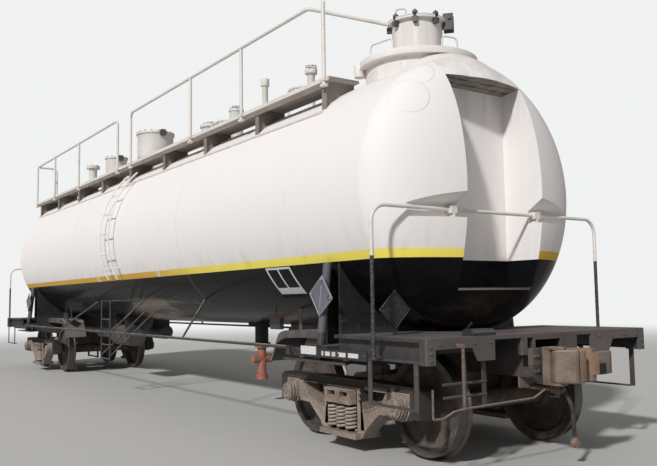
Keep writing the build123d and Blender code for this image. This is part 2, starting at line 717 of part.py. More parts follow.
# Body bolsters with their tubular struts
def make_body_bolster():
    """The near body bolster: a box beam, saddle webs and a strut on each side of the sill."""
    parts = []
    low, high = BODY_BOLSTER_Z
    for side in SIDES:
        inner = SILL_HALF + SEAT
        end = BODY_BOLSTER_END
        tip = high - BODY_BOLSTER_TIP
        outline = [(inner, low), (inner, high), (end, high), (end, tip), (BODY_BOLSTER_KNEE_Y, low)]
        beam_x = (TRUCK_X - BODY_BOLSTER_HALF, TRUCK_X + BODY_BOLSTER_HALF)
        beam = plate_yz([(side * y, z) for y, z in outline], beam_x)
        half_x, half_y = SIDE_BEARING_PLATE
        plate_y = sorted((side * (SIDE_BEARING_Y - half_y), side * (SIDE_BEARING_Y + half_y)))
        beam += block((TRUCK_X - half_x, TRUCK_X + half_x), plate_y, (low - WEAR_T, low))
        pad_top = JACK_PAD_Z + JACK_PAD_T
        pad = []
        for way in SIDES:
            pad.append((TRUCK_X + way * JACK_PAD_HALF[0], side * JACK_PAD_INNER))
            pad.append((TRUCK_X + way * JACK_PAD_HALF[1], side * DECK_HALF))
        beam += plate_xy([pad[0], pad[1], pad[3], pad[2]], (JACK_PAD_Z, pad_top))
        rib_y = sorted((side * JACK_PAD_INNER, side * end))
        beam += block((TRUCK_X - BODY_BOLSTER_RIB, TRUCK_X + BODY_BOLSTER_RIB), rib_y, (JACK_PAD_Z, high - 1))
        web = []
        for way in SIDES:
            web.append((TRUCK_X + way * JACK_WEB_HALF[0], pad_top - 1))
            web.append((TRUCK_X + way * JACK_WEB_HALF[1], JACK_WEB_TOP))
        web_y = sorted((side * JACK_WEB_Y, side * (JACK_WEB_Y + JACK_PAD_T)))
        beam += plate_xz([web[0], web[1], web[3], web[2]], web_y)
        for x in (TRUCK_X - SADDLE_X, TRUCK_X + SADDLE_X):
            web_x = (x - SADDLE_T / 2, x + SADDLE_T / 2)
            web = block(web_x, sorted((side * inner, side * SADDLE_END)), (high - 1, TANK_Z - TANK_R / 2))
            beam += web - tank_cylinder(SEAT)
        head = (TRUCK_X, side * STRUT_HEAD_Y, STRUT_HEAD_Z)
        beam += rod((TRUCK_X, side * STRUT_FOOT_Y, high), head, STRUT_R) - tank_cylinder(SEAT)
        parts.append(beam)
    return parts


# Wheel guards
def make_wheel_guards():
    """The near pair of bent sheets over the inner wheels, each with a skirt and a strap to the tank."""
    guards = []
    sheet = list(GUARD_LINE)
    for x, z in reversed(GUARD_LINE[:-1]):
        sheet.append((x + GUARD_T - 1, z - GUARD_T))
    sheet.insert(len(GUARD_LINE), (GUARD_LINE[-1][0], GUARD_LINE[-1][1] - GUARD_T))
    for side in SIDES:
        guard = plate_xz(sheet, sorted((side * GUARD_Y[0], side * GUARD_Y[1])))
        skirt_y = sorted((side * (GUARD_Y[1] - GUARD_T), side * GUARD_Y[1]))
        guard += plate_xz(GUARD_LINE + GUARD_SKIRT_LINE, skirt_y)
        strap_y = sorted((side * GUARD_STRAP_Y[0], side * GUARD_STRAP_Y[1]))
        strap = block(GUARD_STRAP_X, strap_y, (GUARD_LINE[-2][1] - GUARD_T - 10, TANK_Z - TANK_R / 2))
        guards.append(guard + (strap - tank_cylinder(SEAT)))
    return guards


# End decks
def make_deck():
    """The near end deck: treads, open side channels, corner posts and the cut-out end plate."""
    under = DECK_TOP - TREAD_T
    low = DECK_TOP - DECK_DEPTH
    foot = low - END_PLATE_DROP
    deck = block((DECK_BACK, DECK_FRONT), (-DECK_HALF, DECK_HALF), (under, DECK_TOP))
    for side in SIDES:
        web = DECK_HALF - CHANNEL_FLANGE
        end_inner = END_PLATE_INNER[side]
        end = (
            (DECK_HALF, foot),
            (DECK_HALF - END_PLATE_LEG, foot),
            (DECK_HALF - END_PLATE_LEG, DECK_TOP - END_PLATE_BEAM),
            (DECK_HALF - END_PLATE_SLOPE[0], DECK_TOP - END_PLATE_BEAM),
            (DECK_HALF - END_PLATE_SLOPE[1], low),
            (end_inner, low),
            (end_inner, under),
            (DECK_HALF, under),
        )
        deck += plate_yz([(side * y, z) for y, z in end], (DECK_FRONT - END_PLATE_T, DECK_FRONT))
        spans = (
            ((DECK_BACK, DECK_FRONT - 1), (web, web + CHANNEL_T), (low, under)),
            ((DECK_BACK, DECK_FRONT - 1), (web, DECK_HALF), (low, low + CHANNEL_T)),
            ((DECK_FRONT - CORNER_POST, DECK_FRONT), (web, DECK_HALF), (foot, under)),
            SILL_RIBS[side] + ((low + 20, under),),
        )
        for x, y, z in spans:
            deck += block(x, sorted((side * y[0], side * y[1])), z)
        for x in DECK_BEARERS:
            bearer_x = (x - DECK_BEARER_HALF, x + DECK_BEARER_HALF)
            bearer_y = sorted((side * (SILL_HALF + SEAT), side * (web + 1)))
            deck += block(bearer_x, bearer_y, (low + DECK_BEARER_RISE, under))
    return deck - near_envelope(TANK_GAP)


# Strikers and couplers
def make_striker():
    """The striker around the coupler shank, on the end of the sill."""
    half = STRIKER_HALF
    carrier = COUPLER_Z - SHANK_HALF - SEAT
    foot = STRIKER_FOOT_HALF
    low, shoulder, high = STRIKER_Z
    outline = [(-half, high), (-half, shoulder), (-foot, low), (foot, low), (half, shoulder), (half, high)]
    striker = plate_yz(outline, (DECK_FRONT - 1, DECK_FRONT + STRIKER_T))
    mouth_x = (DECK_FRONT - 2, DECK_FRONT + 2 * STRIKER_T)
    mouth_z = (carrier, COUPLER_Z + SHANK_HALF + STRIKER_HEAD_ROOM)
    return striker - block(mouth_x, (-STRIKER_GAP, STRIKER_GAP), mouth_z)


def behind_nose(outline):
    """Points in X and Y of an outline given by its distances behind the knuckle's nose."""
    return [(COUPLER_NOSE_X - back, y) for back, y in outline]


def make_coupler():
    """The near coupler's shank and head, with lugs above and below the knuckle."""
    z = COUPLER_Z
    shank_z = (z - SHANK_HALF, z + SHANK_HALF)
    shank = block((COUPLER_PIVOT_X, COUPLER_HEAD_X + 20), (-SHANK_HALF, SHANK_HALF), shank_z)
    shank += upright(COUPLER_PIVOT_X, 0, SHANK_HALF, z - SHANK_HALF, z + SHANK_HALF)
    shank -= upright(COUPLER_PIVOT_X, 0, COUPLER_PIN_R + PIN_GAP, z - SHANK_HALF - 1, z + SHANK_HALF + 1)
    half = KNUCKLE_H / 2
    outline = [(COUPLER_HEAD_X, -SHANK_HALF)] + behind_nose(HEAD_OUTLINE) + [(COUPLER_HEAD_X, SHANK_HALF)]
    head = plate_xy(outline, (z - half, z + half))
    head += plate_xy(behind_nose(GUARD_ARM_OUTLINE), GUARD_ARM_Z)
    for low, high in ((z - half - LUG_T, z - half - SEAT), (z + half + SEAT, z + half + LUG_T)):
        head += plate_xy(behind_nose(LUG_OUTLINE), (low, high))
    for low, high in ((z - half - LUG_T, z - half + 1), (z + half - 1, z + half + LUG_T)):
        head += plate_xy(behind_nose(LUG_ROOT), (low, high))
    return shank + head


def make_knuckle():
    """The closed knuckle, with its hub at the pin and its nose across the coupler's face."""
    half = KNUCKLE_H / 2
    return plate_xy(behind_nose(KNUCKLE_OUTLINE), (COUPLER_Z - half, COUPLER_Z + half))


# End handrails, steps and levers
def make_end_handrail():
    """The near end handrail: two posts outside the deck and a rail across the head's notches."""
    y = END_RAIL_Y
    foot = DECK_TOP - DECK_DEPTH + END_RAIL_FOOT
    half_x, out, half_z = END_RAIL_LUG
    rail = bent_bar(
        [
            (END_RAIL_X, -y, foot),
            (END_RAIL_X, -y, END_RAIL_Z),
            (END_RAIL_X, y, END_RAIL_Z),
            (END_RAIL_X, y, foot),
        ],
        END_RAIL_BEND,
        END_RAIL_R,
    )
    for side in SIDES:
        for drop in END_RAIL_LUGS:
            z = DECK_TOP - drop
            lug_y = sorted((side * (DECK_HALF + SEAT), side * (y + out)))
            rail += block((END_RAIL_X - half_x, END_RAIL_X + half_x), lug_y, (z - half_z, z + half_z))
    return rail


def make_rail_clamps():
    """The brackets that hold the end handrail at the edges of the slot."""
    clamps = []
    for side in SIDES:
        y = sorted((side * CLAMP_Y[0], side * CLAMP_Y[1]))
        web_y = sorted((side * CLAMP_WEB_Y[0], side * CLAMP_WEB_Y[1]))
        x = (NOTCH_X + SEAT, END_RAIL_X + CLAMP_REACH)
        clamp = block(x, y, (END_RAIL_Z - CLAMP_HALF, END_RAIL_Z + CLAMP_HALF))
        clamp += block(x, y, (NOTCH_FLOOR + SEAT, NOTCH_FLOOR + CLAMP_FOOT_T))
        clamp += block(x, web_y, (NOTCH_FLOOR + SEAT, END_RAIL_Z))
        bore = rod((END_RAIL_X, y[0] - 1, END_RAIL_Z), (END_RAIL_X, y[1] + 1, END_RAIL_Z), END_RAIL_R + SEAT)
        clamps.append(clamp - bore)
    return clamps


def make_sill_steps():
    """The hanging sill steps under both sides of the near deck."""
    steps = []
    bottom = SILL_STEP_Z
    top = DECK_TOP - DECK_DEPTH - SEAT
    half, thick = SILL_STEP_BAR
    for side in SIDES:
        y = sorted((side * SILL_STEP_Y[1], side * SILL_STEP_Y[2]))
        tread_y = sorted((side * SILL_STEP_Y[0], side * SILL_STEP_Y[2]))
        step = block(SILL_STEP_X, tread_y, (bottom, bottom + thick))
        for x in SILL_STEP_X:
            step += block((x - half, x + half), y, (bottom, top))
            step += block((x - half, x + half), tread_y, (top - thick, top))
        steps.append(step)
    return steps


def make_end_ladder():
    """The two-bar step that hangs under the near end plate on the -Y side."""
    x = END_LADDER_X
    half_x, half_y = END_LADDER_STRIP
    top = DECK_TOP - TREAD_T - SEAT
    ladder = None
    for y in END_LADDER_Y:
        bar = block((x - half_x, x + half_x), (y - half_y, y + half_y), (END_LADDER_FOOT, top))
        ladder = bar if ladder is None else ladder + bar
    for z in END_LADDER_Z:
        ladder += rod((x, END_LADDER_BAR_Y[0], z), (x, END_LADDER_BAR_Y[1], z), END_LADDER_BAR_R)
    return ladder


def make_lever():
    """The near uncoupling lever: a drop handle at the corner and a bar to the coupler."""
    x = LEVER_X
    bar = bent_bar([(x, y, z) for y, z in LEVER_LINE], LEVER_BEND, LEVER_R)
    under = DECK_TOP - TREAD_T
    half = LEVER_HANGER_HALF
    clip_z = [under - drop for drop in LEVER_CLIP_DROP]
    hanger = block((x - half, x + half), LEVER_HANGER_Y, (LEVER_LINE[3][1], clip_z[1]))
    hanger += block((DECK_FRONT + SEAT, x + half), LEVER_CLIP_Y, clip_z)
    return bar + hanger


def make_brake_pipe():
    """The brake pipe along the sill with its angle cock beside the coupler."""
    y = PIPE_Y
    z = PIPE_Z
    pipe = rod((PIPE_START_X, y, z), (COCK_X, y, z), PIPE_R)
    back, front, half = COCK_HANDLE
    low, high = [z - drop for drop in COCK_HANDLE_DROP]
    cock = rod((COCK_X - COCK_REACH[0], y, z), (COCK_X + COCK_REACH[1], y, z), COCK_R)
    cock += upright(COCK_X, y, COCK_PLUG_R, high, z)
    cock += block((COCK_X - back, COCK_X + front), (y - half, y + half), (low, high))
    way = (Vector(*HOSE_ROUTE[1]) - Vector(*HOSE_ROUTE[0])).normalized()
    nipple_end = Vector(*HOSE_ROUTE[0]) - way * SEAT
    nipple_start = nipple_end - way * NIPPLE_LENGTH
    cock += rod(tuple(nipple_start), tuple(nipple_end), NIPPLE_R)
    hanger_x = (PIPE_HANGER_X - PIPE_HANGER_HALF, PIPE_HANGER_X + PIPE_HANGER_HALF)
    hanger = block(hanger_x, (-SILL_HALF, y + PIPE_HANGER_REACH), (z, SILL_BOTTOM - SEAT))
    return pipe + cock + hanger


near_decks = (
    ("stub_sill", [make_sill()]),
    ("body_bolster", make_body_bolster()),
    ("wheel_guards", make_wheel_guards()),
    ("end_deck", [make_deck()]),
    ("coupler", [make_coupler()]),
    ("knuckle", [make_knuckle()]),
    ("end_handrail", [make_end_handrail()] + make_rail_clamps()),
    ("end_steps", make_sill_steps() + [make_end_ladder()]),
    ("uncoupling_lever", [make_lever()]),
    ("brake_pipe", [make_brake_pipe()]),
)
for label, angle in ENDS:
    for name, solids in near_decks:
        keep(f"{name}_{label}", *[turned(angle, item) for item in solids])
deck_box = plate_xz(DECK_BOX, DECK_BOX_Y) + rod(*DECK_BOX_LEVER, LEVER_R)
keep("end_deck_near", deck_box)

# Air hose at the near end, hanging from the angle cock
points = [Vector(*point) for point in HOSE_ROUTE]
radii = []
for before, corner, after in zip(points, points[1:], points[2:]):
    turn = math.radians((corner - before).get_angle(after - corner))
    run = min((corner - before).length, (after - corner).length)
    radii.append(HOSE_BEND_SHARE * run / math.tan(turn / 2))
print("hose bends", [round(radius) for radius in radii])
hose_path = FilletPolyline(*HOSE_ROUTE, radius=radii)
hose = sweep(Plane(origin=hose_path @ 0, z_dir=hose_path % 0) * Circle(HOSE_R), path=hose_path)
share = hose.volume / (math.pi * HOSE_R**2 * hose_path.length)
print("hose length", round(hose_path.length), "volume share", share)
keep("air_hose", hose)
way = (points[-1] - points[-2]).normalized()
grip = points[-1] + way * SEAT
palm = grip + way * COUPLING_REACH
gladhand = rod(tuple(grip), tuple(palm), HOSE_R + 5)
gladhand += Pos(*palm) * Rot(0, 90, 0) * Cylinder(COUPLING_R, COUPLING_T)
gladhand += Pos(palm.X - 8, palm.Y + 20, palm.Z - 20) * Box(*COUPLING_LIP)
keep("hose_coupling", gladhand)

# Placard holders on the struts
def strut_y(z):
    """How far from the centre line a strut's middle is at a height."""
    share = (z - BODY_BOLSTER_Z[1]) / (STRUT_HEAD_Z - BODY_BOLSTER_Z[1])
    return STRUT_FOOT_Y + (STRUT_HEAD_Y - STRUT_FOOT_Y) * share


for end in SIDES:
    for side in SIDES:
        z = PLACARD_Z
        half = PLACARD_HALF
        way = -side
        x = end * TRUCK_X
        lean = math.atan2(STRUT_FOOT_Y - STRUT_HEAD_Y, STRUT_HEAD_Z - BODY_BOLSTER_Z[1])
        back = strut_y(z - half) + STRUT_R / math.cos(lean) + SEAT
        tilt = math.radians(PLACARD_TILT)
        diamond = []
        for quarter in range(4):
            angle = math.pi / 2 * quarter - tilt
            diamond.append((x + way * (PLACARD_SHIFT + half * math.cos(angle)), z + half * math.sin(angle)))
        plate = plate_xz(diamond, sorted((side * back, side * (back + PLACARD_T))))
        lug_y = sorted((side * strut_y(z), side * (back + 1)))
        lug = block((x - 30, x + 30), lug_y, (z - 70, z + 70))
        low = (x, side * STRUT_FOOT_Y, BODY_BOLSTER_Z[1])
        high = (x, side * STRUT_HEAD_Y, STRUT_HEAD_Z)
        keep("placard_holders", plate + (lug - rod(low, high, STRUT_R + SEAT)))

# Bottom outlet
outlet = [upright(OUTLET_X, 0, *part) for part in OUTLET_BODY]
keep("bottom_outlet", outlet[0] - tank_cylinder(SEAT) + outlet[1] + outlet[2])
valve = [upright(OUTLET_X, 0, *part) for part in OUTLET_VALVE]
reach, pivot_z, pivot_r = OUTLET_PIVOT
pivot = rod((OUTLET_X, -reach, pivot_z), (OUTLET_X, reach, pivot_z), pivot_r)
keep("bottom_outlet", valve[0] + valve[1] + valve[2] + pivot)

# Brake cylinder and air reservoir under the tank
for x, y, z, radius, length in BRAKE_VESSELS:
    vessel = rod((x - length / 2, y, z), (x + length / 2, y, z), radius)
    for share in (-0.3, 0.3):
        place = x + share * length
        strap = block((place - 8, place + 8), (y - radius * 0.8, y + radius * 0.8), (z, TANK_Z - TANK_R + 200))
        vessel += strap - tank_cylinder(SEAT)
    keep("brake_vessels", vessel)

# Hand brake on the far deck
back, front, half, low, high = HAND_BRAKE_CASE
stand = upright(HAND_BRAKE_X, HAND_BRAKE_Y, HAND_BRAKE_POST_R, DECK_TOP + SEAT, HAND_WHEEL_Z)
stand += block(
    (HAND_BRAKE_X - back, HAND_BRAKE_X + front),
    (HAND_BRAKE_Y - half, HAND_BRAKE_Y + half),
    (HAND_WHEEL_Z - low, HAND_WHEEL_Z + high),
)
keep("hand_brake", stand)
hub = (HAND_WHEEL_X, HAND_BRAKE_Y, HAND_WHEEL_Z)
ring = Pos(*hub) * Rot(0, 90, 0) * Torus(HAND_WHEEL_R, HAND_WHEEL_RIM_R)
hub_r, hub_reach = HAND_WHEEL_HUB
hub_start = (HAND_BRAKE_X - back - SEAT, HAND_BRAKE_Y, HAND_WHEEL_Z)
spokes = rod(hub_start, (HAND_WHEEL_X - hub_reach, HAND_BRAKE_Y, HAND_WHEEL_Z), hub_r)
for number in range(HAND_WHEEL_SPOKES):
    angle = 2 * math.pi / HAND_WHEEL_SPOKES * number + math.pi / 2
    tip_y = HAND_BRAKE_Y + HAND_WHEEL_R * math.cos(angle)
    tip_z = HAND_WHEEL_Z + HAND_WHEEL_R * math.sin(angle)
    spokes += rod(hub, (HAND_WHEEL_X, tip_y, tip_z), HAND_WHEEL_SPOKE_R)
keep("hand_brake", ring + spokes)


# Trucks, modelled about their own centre
def make_side_frame():
    """One cast side frame on the +Y side, with its bolster window and side openings."""
    top = FRAME_TOP
    jaw = (WHEELBASE / 2 - JAW_HALF, WHEELBASE / 2 + JAW_HALF)
    half = [
        (420, top + 10),
        (640, top),
        (FRAME_END - 50, top),
        (FRAME_END, top - 40),
        (FRAME_END, PEDESTAL_BOTTOM),
        (jaw[1], PEDESTAL_BOTTOM),
        (jaw[1], JAW_ROOF),
        (jaw[0], JAW_ROOF),
        (jaw[0], PEDESTAL_BOTTOM),
        (jaw[0] - 185, PEDESTAL_BOTTOM - 9),
        (SEAT_HALF + 79, SEAT_BOTTOM + 97),
        (SEAT_HALF + 45, SEAT_BOTTOM + 47),
        (SEAT_HALF, SEAT_BOTTOM),
    ]
    outline = half + [(-x, z) for x, z in reversed(half)]
    y = (FRAME_Y - FRAME_T / 2, FRAME_Y + FRAME_T / 2)
    frame = plate_xz(outline, y)
    frame -= block((-COLUMN_INNER, COLUMN_INNER), (0, 2 * FRAME_Y), (SEAT_TOP, top - CHORD_T))
    column = COLUMN_INNER + COLUMN_W
    opening = [
        (column, top - CHORD_T),
        (column, PEDESTAL_BOTTOM + 10),
        (column + 30, PEDESTAL_BOTTOM),
        (jaw[0] - 150, PEDESTAL_BOTTOM + 95),
        (jaw[0] - 80, top - CHORD_T),
    ]
    for way in SIDES:
        hole = plate_xz([(way * x, z) for x, z in opening], (0, 2 * FRAME_Y))
        frame -= hole
    shelf = block((-SEAT_HALF, SEAT_HALF), (FRAME_Y - SHELF_HALF, FRAME_Y + SHELF_HALF), (SEAT_BOTTOM, SEAT_TOP))
    return frame + shelf


def make_truck_bolster():
    """The truck bolster, with its centre bowl, side bearings and pocketed ends."""
    low, high = BOLSTER_END_Z
    half = [
        (SIDE_BEARING_Y + 125, CENTRE_PLATE_Z),
        (FRAME_Y - FRAME_T / 2 - 40, high),
        (BOLSTER_END_Y, high),
        (BOLSTER_END_Y, low),
        (FRAME_Y - FRAME_T / 2 - 40, low),
        (SIDE_BEARING_Y, BOLSTER_MID[0]),
    ]
    outline = half + [(-y, z) for y, z in reversed(half)]
    bolster = plate_yz(outline, (-BOLSTER_HALF_X, BOLSTER_HALF_X))
    bowl = CENTRE_PLATE_R + PIN_GAP
    bolster += block_ring(bowl + CENTRE_RING_W, bowl, CENTRE_PLATE_Z - 1, CENTRE_PLATE_Z + CENTRE_RING_H)
    bolster -= upright(0, 0, CENTRE_PIN_R + PIN_GAP, 0, CENTRE_PLATE_Z + 50)
    for side in SIDES:
        half_x, half_y = SIDE_BEARING_HALF
        bearing_y = sorted((side * (SIDE_BEARING_Y - half_y), side * (SIDE_BEARING_Y + half_y)))
        bearing_top = BODY_BOLSTER_Z[0] - WEAR_T - BEARING_GAP
        bolster += block((-half_x, half_x), bearing_y, (CENTRE_PLATE_Z - 1, bearing_top))
        for x in BOLSTER_POCKETS:
            pocket_x = (x - BOLSTER_POCKET_HALF, x + BOLSTER_POCKET_HALF)
            pocket_y = sorted((side * (BOLSTER_END_Y - BOLSTER_POCKET_DEPTH), side * (BOLSTER_END_Y + 1)))
            pocket_z = [high - drop for drop in BOLSTER_POCKET_DROP]
            bolster -= block(pocket_x, pocket_y, pocket_z)
    return bolster


def make_springs():
    """The coil springs between each side frame's seat and the bolster's ends."""
    springs = []
    for side in SIDES:
        for row in (-1, 0.98):
            for column in (-1, 0, 1):
                y = side * FRAME_Y + row * SPRING_PITCH / 2
                low = SEAT_TOP + SEAT
                springs.append(upright(column * SPRING_PITCH, y, SPRING_R, low, BOLSTER_END_Z[0] - SEAT))
    return springs


def make_bearings():
    """The bearing cups and the adapters that carry the side frames on them."""
    parts = []
    for way in SIDES:
        for side in SIDES:
            x = way * WHEELBASE / 2
            y = sorted((side * (JOURNAL_Y - CUP_LENGTH / 2), side * (JOURNAL_Y + CUP_LENGTH / 2)))
            cup = rod((x, y[0], AXLE_Z), (x, y[1], AXLE_Z), CUP_R)
            cup -= rod((x, y[0] - 1, AXLE_Z), (x, y[1] + 1, AXLE_Z), JOURNAL_R + RUN)
            adapter_x = (x - JAW_HALF + SEAT, x + JAW_HALF - SEAT)
            adapter = block(adapter_x, y, (AXLE_Z + ADAPTER_RISE, JAW_ROOF - SEAT))
            adapter -= rod((x, y[0] - 1, AXLE_Z), (x, y[1] + 1, AXLE_Z), CUP_R + SEAT)
            parts += [cup, adapter]
    return parts


def make_brake_beams():
    """The two brake beams with their heads and shoes."""
    beams = []
    for way in SIDES:
        x = way * BEAM_X
        reach = FRAME_Y - FRAME_T / 2 - SEAT
        beam = rod((x, -reach, BEAM_Z), (x, reach, BEAM_Z), BRAKE_BEAM_R)
        for side in SIDES:
            y = sorted((side * BRAKE_SHOE_Y[0], side * BRAKE_SHOE_Y[1]))
            centre = way * WHEELBASE / 2
            inner = WHEEL_R + SHOE_GAP
            shoe = rod((centre, y[0], AXLE_Z), (centre, y[1], AXLE_Z), inner + BRAKE_SHOE_T[1])
            shoe -= rod((centre, y[0] - 1, AXLE_Z), (centre, y[1] + 1, AXLE_Z), inner)
            reach_x = sorted((way * BRAKE_SHOE_X[0], centre - way * BRAKE_SHOE_X[1]))
            shoe &= block(reach_x, y, BRAKE_SHOE_Z)
            head_x = sorted((x, centre - way * (inner + BRAKE_SHOE_T[0])))
            head = block(head_x, (y[0] + BRAKE_HEAD_INSET, y[1] - BRAKE_HEAD_INSET), BRAKE_HEAD_Z)
            head -= rod((centre, y[0] - 1, AXLE_Z), (centre, y[1] + 1, AXLE_Z), inner + BRAKE_SHOE_T[0])
            beam += shoe + head
        beams.append(beam)
    return beams


def make_wheels():
    """Two wheels of one wheelset, each with its rim, flange, dished plate and hub."""
    rim = WHEEL_R - RIM_DEPTH
    tip = WHEEL_R + FLANGE_H
    bore = AXLE_R + SEAT
    outline = [
        (bore, -20),
        (HUB_R, -20),
        (HUB_R + 18, 44),
        (rim - 14, 62),
        (rim, 8),
        (tip - 12, 0),
        (tip, 12),
        (tip, 20),
        (WHEEL_R + 4, 36),
        (WHEEL_R - 3, RIM_WIDTH),
        (rim, RIM_WIDTH - 6),
        (rim - 14, 90),
        (HUB_R + 18, 76),
        (HUB_R, HUB_WIDTH - 20),
        (bore, HUB_WIDTH - 20),
    ]
    face = Face(Wire.make_polygon([(radius, y, 0) for radius, y in outline], close=True))
    wheel = revolve(face, Axis.Y, 360)
    wheel = Pos(0, WHEEL_INNER_Y, AXLE_Z) * wheel
    return [wheel, Rot(0, 0, 180) * wheel]


def make_axle():
    """The axle with its journals and end caps."""
    shoulder = JOURNAL_Y - CUP_LENGTH / 2 - RUN
    end = JOURNAL_Y + CUP_LENGTH / 2 + RUN
    axle = rod((0, -shoulder, AXLE_Z), (0, shoulder, AXLE_Z), AXLE_R)
    axle += rod((0, -end, AXLE_Z), (0, end, AXLE_Z), JOURNAL_R)
    for side in SIDES:
        axle += rod((0, side * end, AXLE_Z), (0, side * (end + CAP_T), AXLE_Z), CAP_R)
    return axle


truck_parts = (
    ("side_frames", [make_side_frame(), Rot(0, 0, 180) * make_side_frame()]),
    ("truck_bolster", [make_truck_bolster()]),
    ("springs", make_springs()),
    ("bearings", make_bearings()),
    ("brake_beams", make_brake_beams()),
)
axle_places = (("outer", WHEELBASE / 2), ("inner", -WHEELBASE / 2))
for label, angle in ENDS:
    for name, solids in truck_parts:
        keep(f"{name}_{label}", *[turned(angle, Pos(TRUCK_X, 0, 0) * item) for item in solids])
    for place, x in axle_places:
        wheels = [turned(angle, Pos(TRUCK_X + x, 0, 0) * item) for item in make_wheels()]
        axle = turned(angle, Pos(TRUCK_X + x, 0, 0) * make_axle())
        keep(f"wheelset_{label}_{place}", *wheels, axle)

os.makedirs("parts", exist_ok=True)
for name, solids in nodes.items():
    export_step(Compound(children=list(solids)), f"parts/{name}.step")
print(len(nodes), "nodes")
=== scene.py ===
"""Finishes and small pieces for a railway tank car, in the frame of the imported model."""

import math

import bmesh
import bpy
from mathutils import Matrix, Vector


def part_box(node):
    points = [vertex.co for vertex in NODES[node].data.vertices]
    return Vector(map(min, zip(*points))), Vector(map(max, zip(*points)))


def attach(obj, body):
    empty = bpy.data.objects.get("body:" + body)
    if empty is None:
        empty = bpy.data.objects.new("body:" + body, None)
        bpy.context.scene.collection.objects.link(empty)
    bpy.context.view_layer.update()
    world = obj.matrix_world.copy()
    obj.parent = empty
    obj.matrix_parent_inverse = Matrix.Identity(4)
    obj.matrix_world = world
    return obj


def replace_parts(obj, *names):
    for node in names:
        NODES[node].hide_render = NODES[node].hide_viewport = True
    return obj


bl_info = {
    "name": "Railway Tank Car",
    "version": (1, 0, 0),
    "blender": (4, 5, 0),
    "location": "View3D > Sidebar > Tank Car",
    "description": "Finishes and small pieces for a railway tank car",
    "category": "Object",
}

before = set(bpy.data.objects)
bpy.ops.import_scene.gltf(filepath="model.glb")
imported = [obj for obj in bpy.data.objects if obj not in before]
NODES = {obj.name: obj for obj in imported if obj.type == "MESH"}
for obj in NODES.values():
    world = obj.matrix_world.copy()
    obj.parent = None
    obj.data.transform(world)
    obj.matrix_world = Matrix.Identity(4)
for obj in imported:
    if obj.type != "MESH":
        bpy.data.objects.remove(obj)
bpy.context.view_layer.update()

# Places that the pieces share with the solids, in metres
BAND_LOW = 1.810
BAND_HIGH = 1.893
SLOT_HALF = 0.508
SLOT_FACE = 6.42
TANK_R = 1.364
TANK_Z = 2.481
TRUCK_X = 5.750
HOSE_ROUTE = (
    (7.556, -0.027, 0.622),
    (7.591, -0.012, 0.563),
    (7.609, 0.000, 0.492),
    (7.607, 0.011, 0.404),
    (7.600, 0.033, 0.244),
)
WHEELBASE = 1.778
AXLE_Z = 0.482
AXLE_FACE = 1.134
BEAM_REACH = 0.33
DOME_X = 5.749
RING_TOP = 3.990
DECK_HALF = 1.425
DECK_TOP = 1.123
BAR_FACE = 1.4373
SEAMS = (-5.150, -2.350, 0.0, 2.350, 5.150)
PANEL_X = (4.430, 4.950)
PANEL_Z = (1.512, 1.800)
PANEL_WINDOWS = ((4.462, 4.665), (4.695, 4.918))
PANEL_WINDOW_Z = (1.580, 1.778)
PATCHES = ((6.540, -0.760, 3.580), (6.660, -0.930, 3.310))
LIP_Z = (1.512, 1.532)
WALK_LIP = 3.752
FRAME_Y = 1.003
FRAME_HALF = 0.085
SPRING_R = 0.068
SPRING_PITCH = 0.145
DECK_FRONT = 7.383
STRIKER_FRONT = 7.433
PLACARD_Z = 1.345
FLOOR_FADE = (12.0, 34.0)
TREAD_Y = (-0.955, -0.565)
OUTLET_BLACK_Z = 0.82
WORN_TREAD_R = (0.447, 0.452)

# Camera of the photo: place in metres, turn in degrees, focal length and width in pixels
CAMERA_PLACE = (11.921, -5.460, 1.441)
CAMERA_TURN = (34.504, 4.984, -0.823)
FOCAL_PX = 766.115
PHOTO_WIDTH_PX = 657
SENSOR_WIDTH = 36

# Rings of an axle end: start and end beyond its face, and radius
CAP_RINGS = ((-0.040, -0.014, 0.104), (-0.004, 0.016, 0.100), (0.026, 0.040, 0.092))

# Grooved rings of a bearing: start and end from the car's middle
BEARING_RINGS = ((0.922, 0.944), (0.972, 0.994), (1.022, 1.044), (1.066, 1.086))

# Bolt circles on the top fittings: place along the car, radius, height and number of bolts
FITTING_BOLTS = (
    (-1.8, 0.335, 4.640, 16),
    (-4.0, 0.220, 4.530, 12),
    (0.6, 0.155, 4.330, 8),
    (1.5, 0.098, 4.400, 6),
    (3.625, 0.066, 4.480, 4),
    (-5.6, 0.125, 4.600, 6),
)

# Hinged lids and hand wheels on the top fittings: place, height and, for a lid, its reach
LID_HINGES = ((-1.8, 4.640, 0.36), (-4.0, 4.530, 0.245))
HAND_WHEELS = ((0.6, 4.331), (1.5, 4.401), (3.625, 4.481))

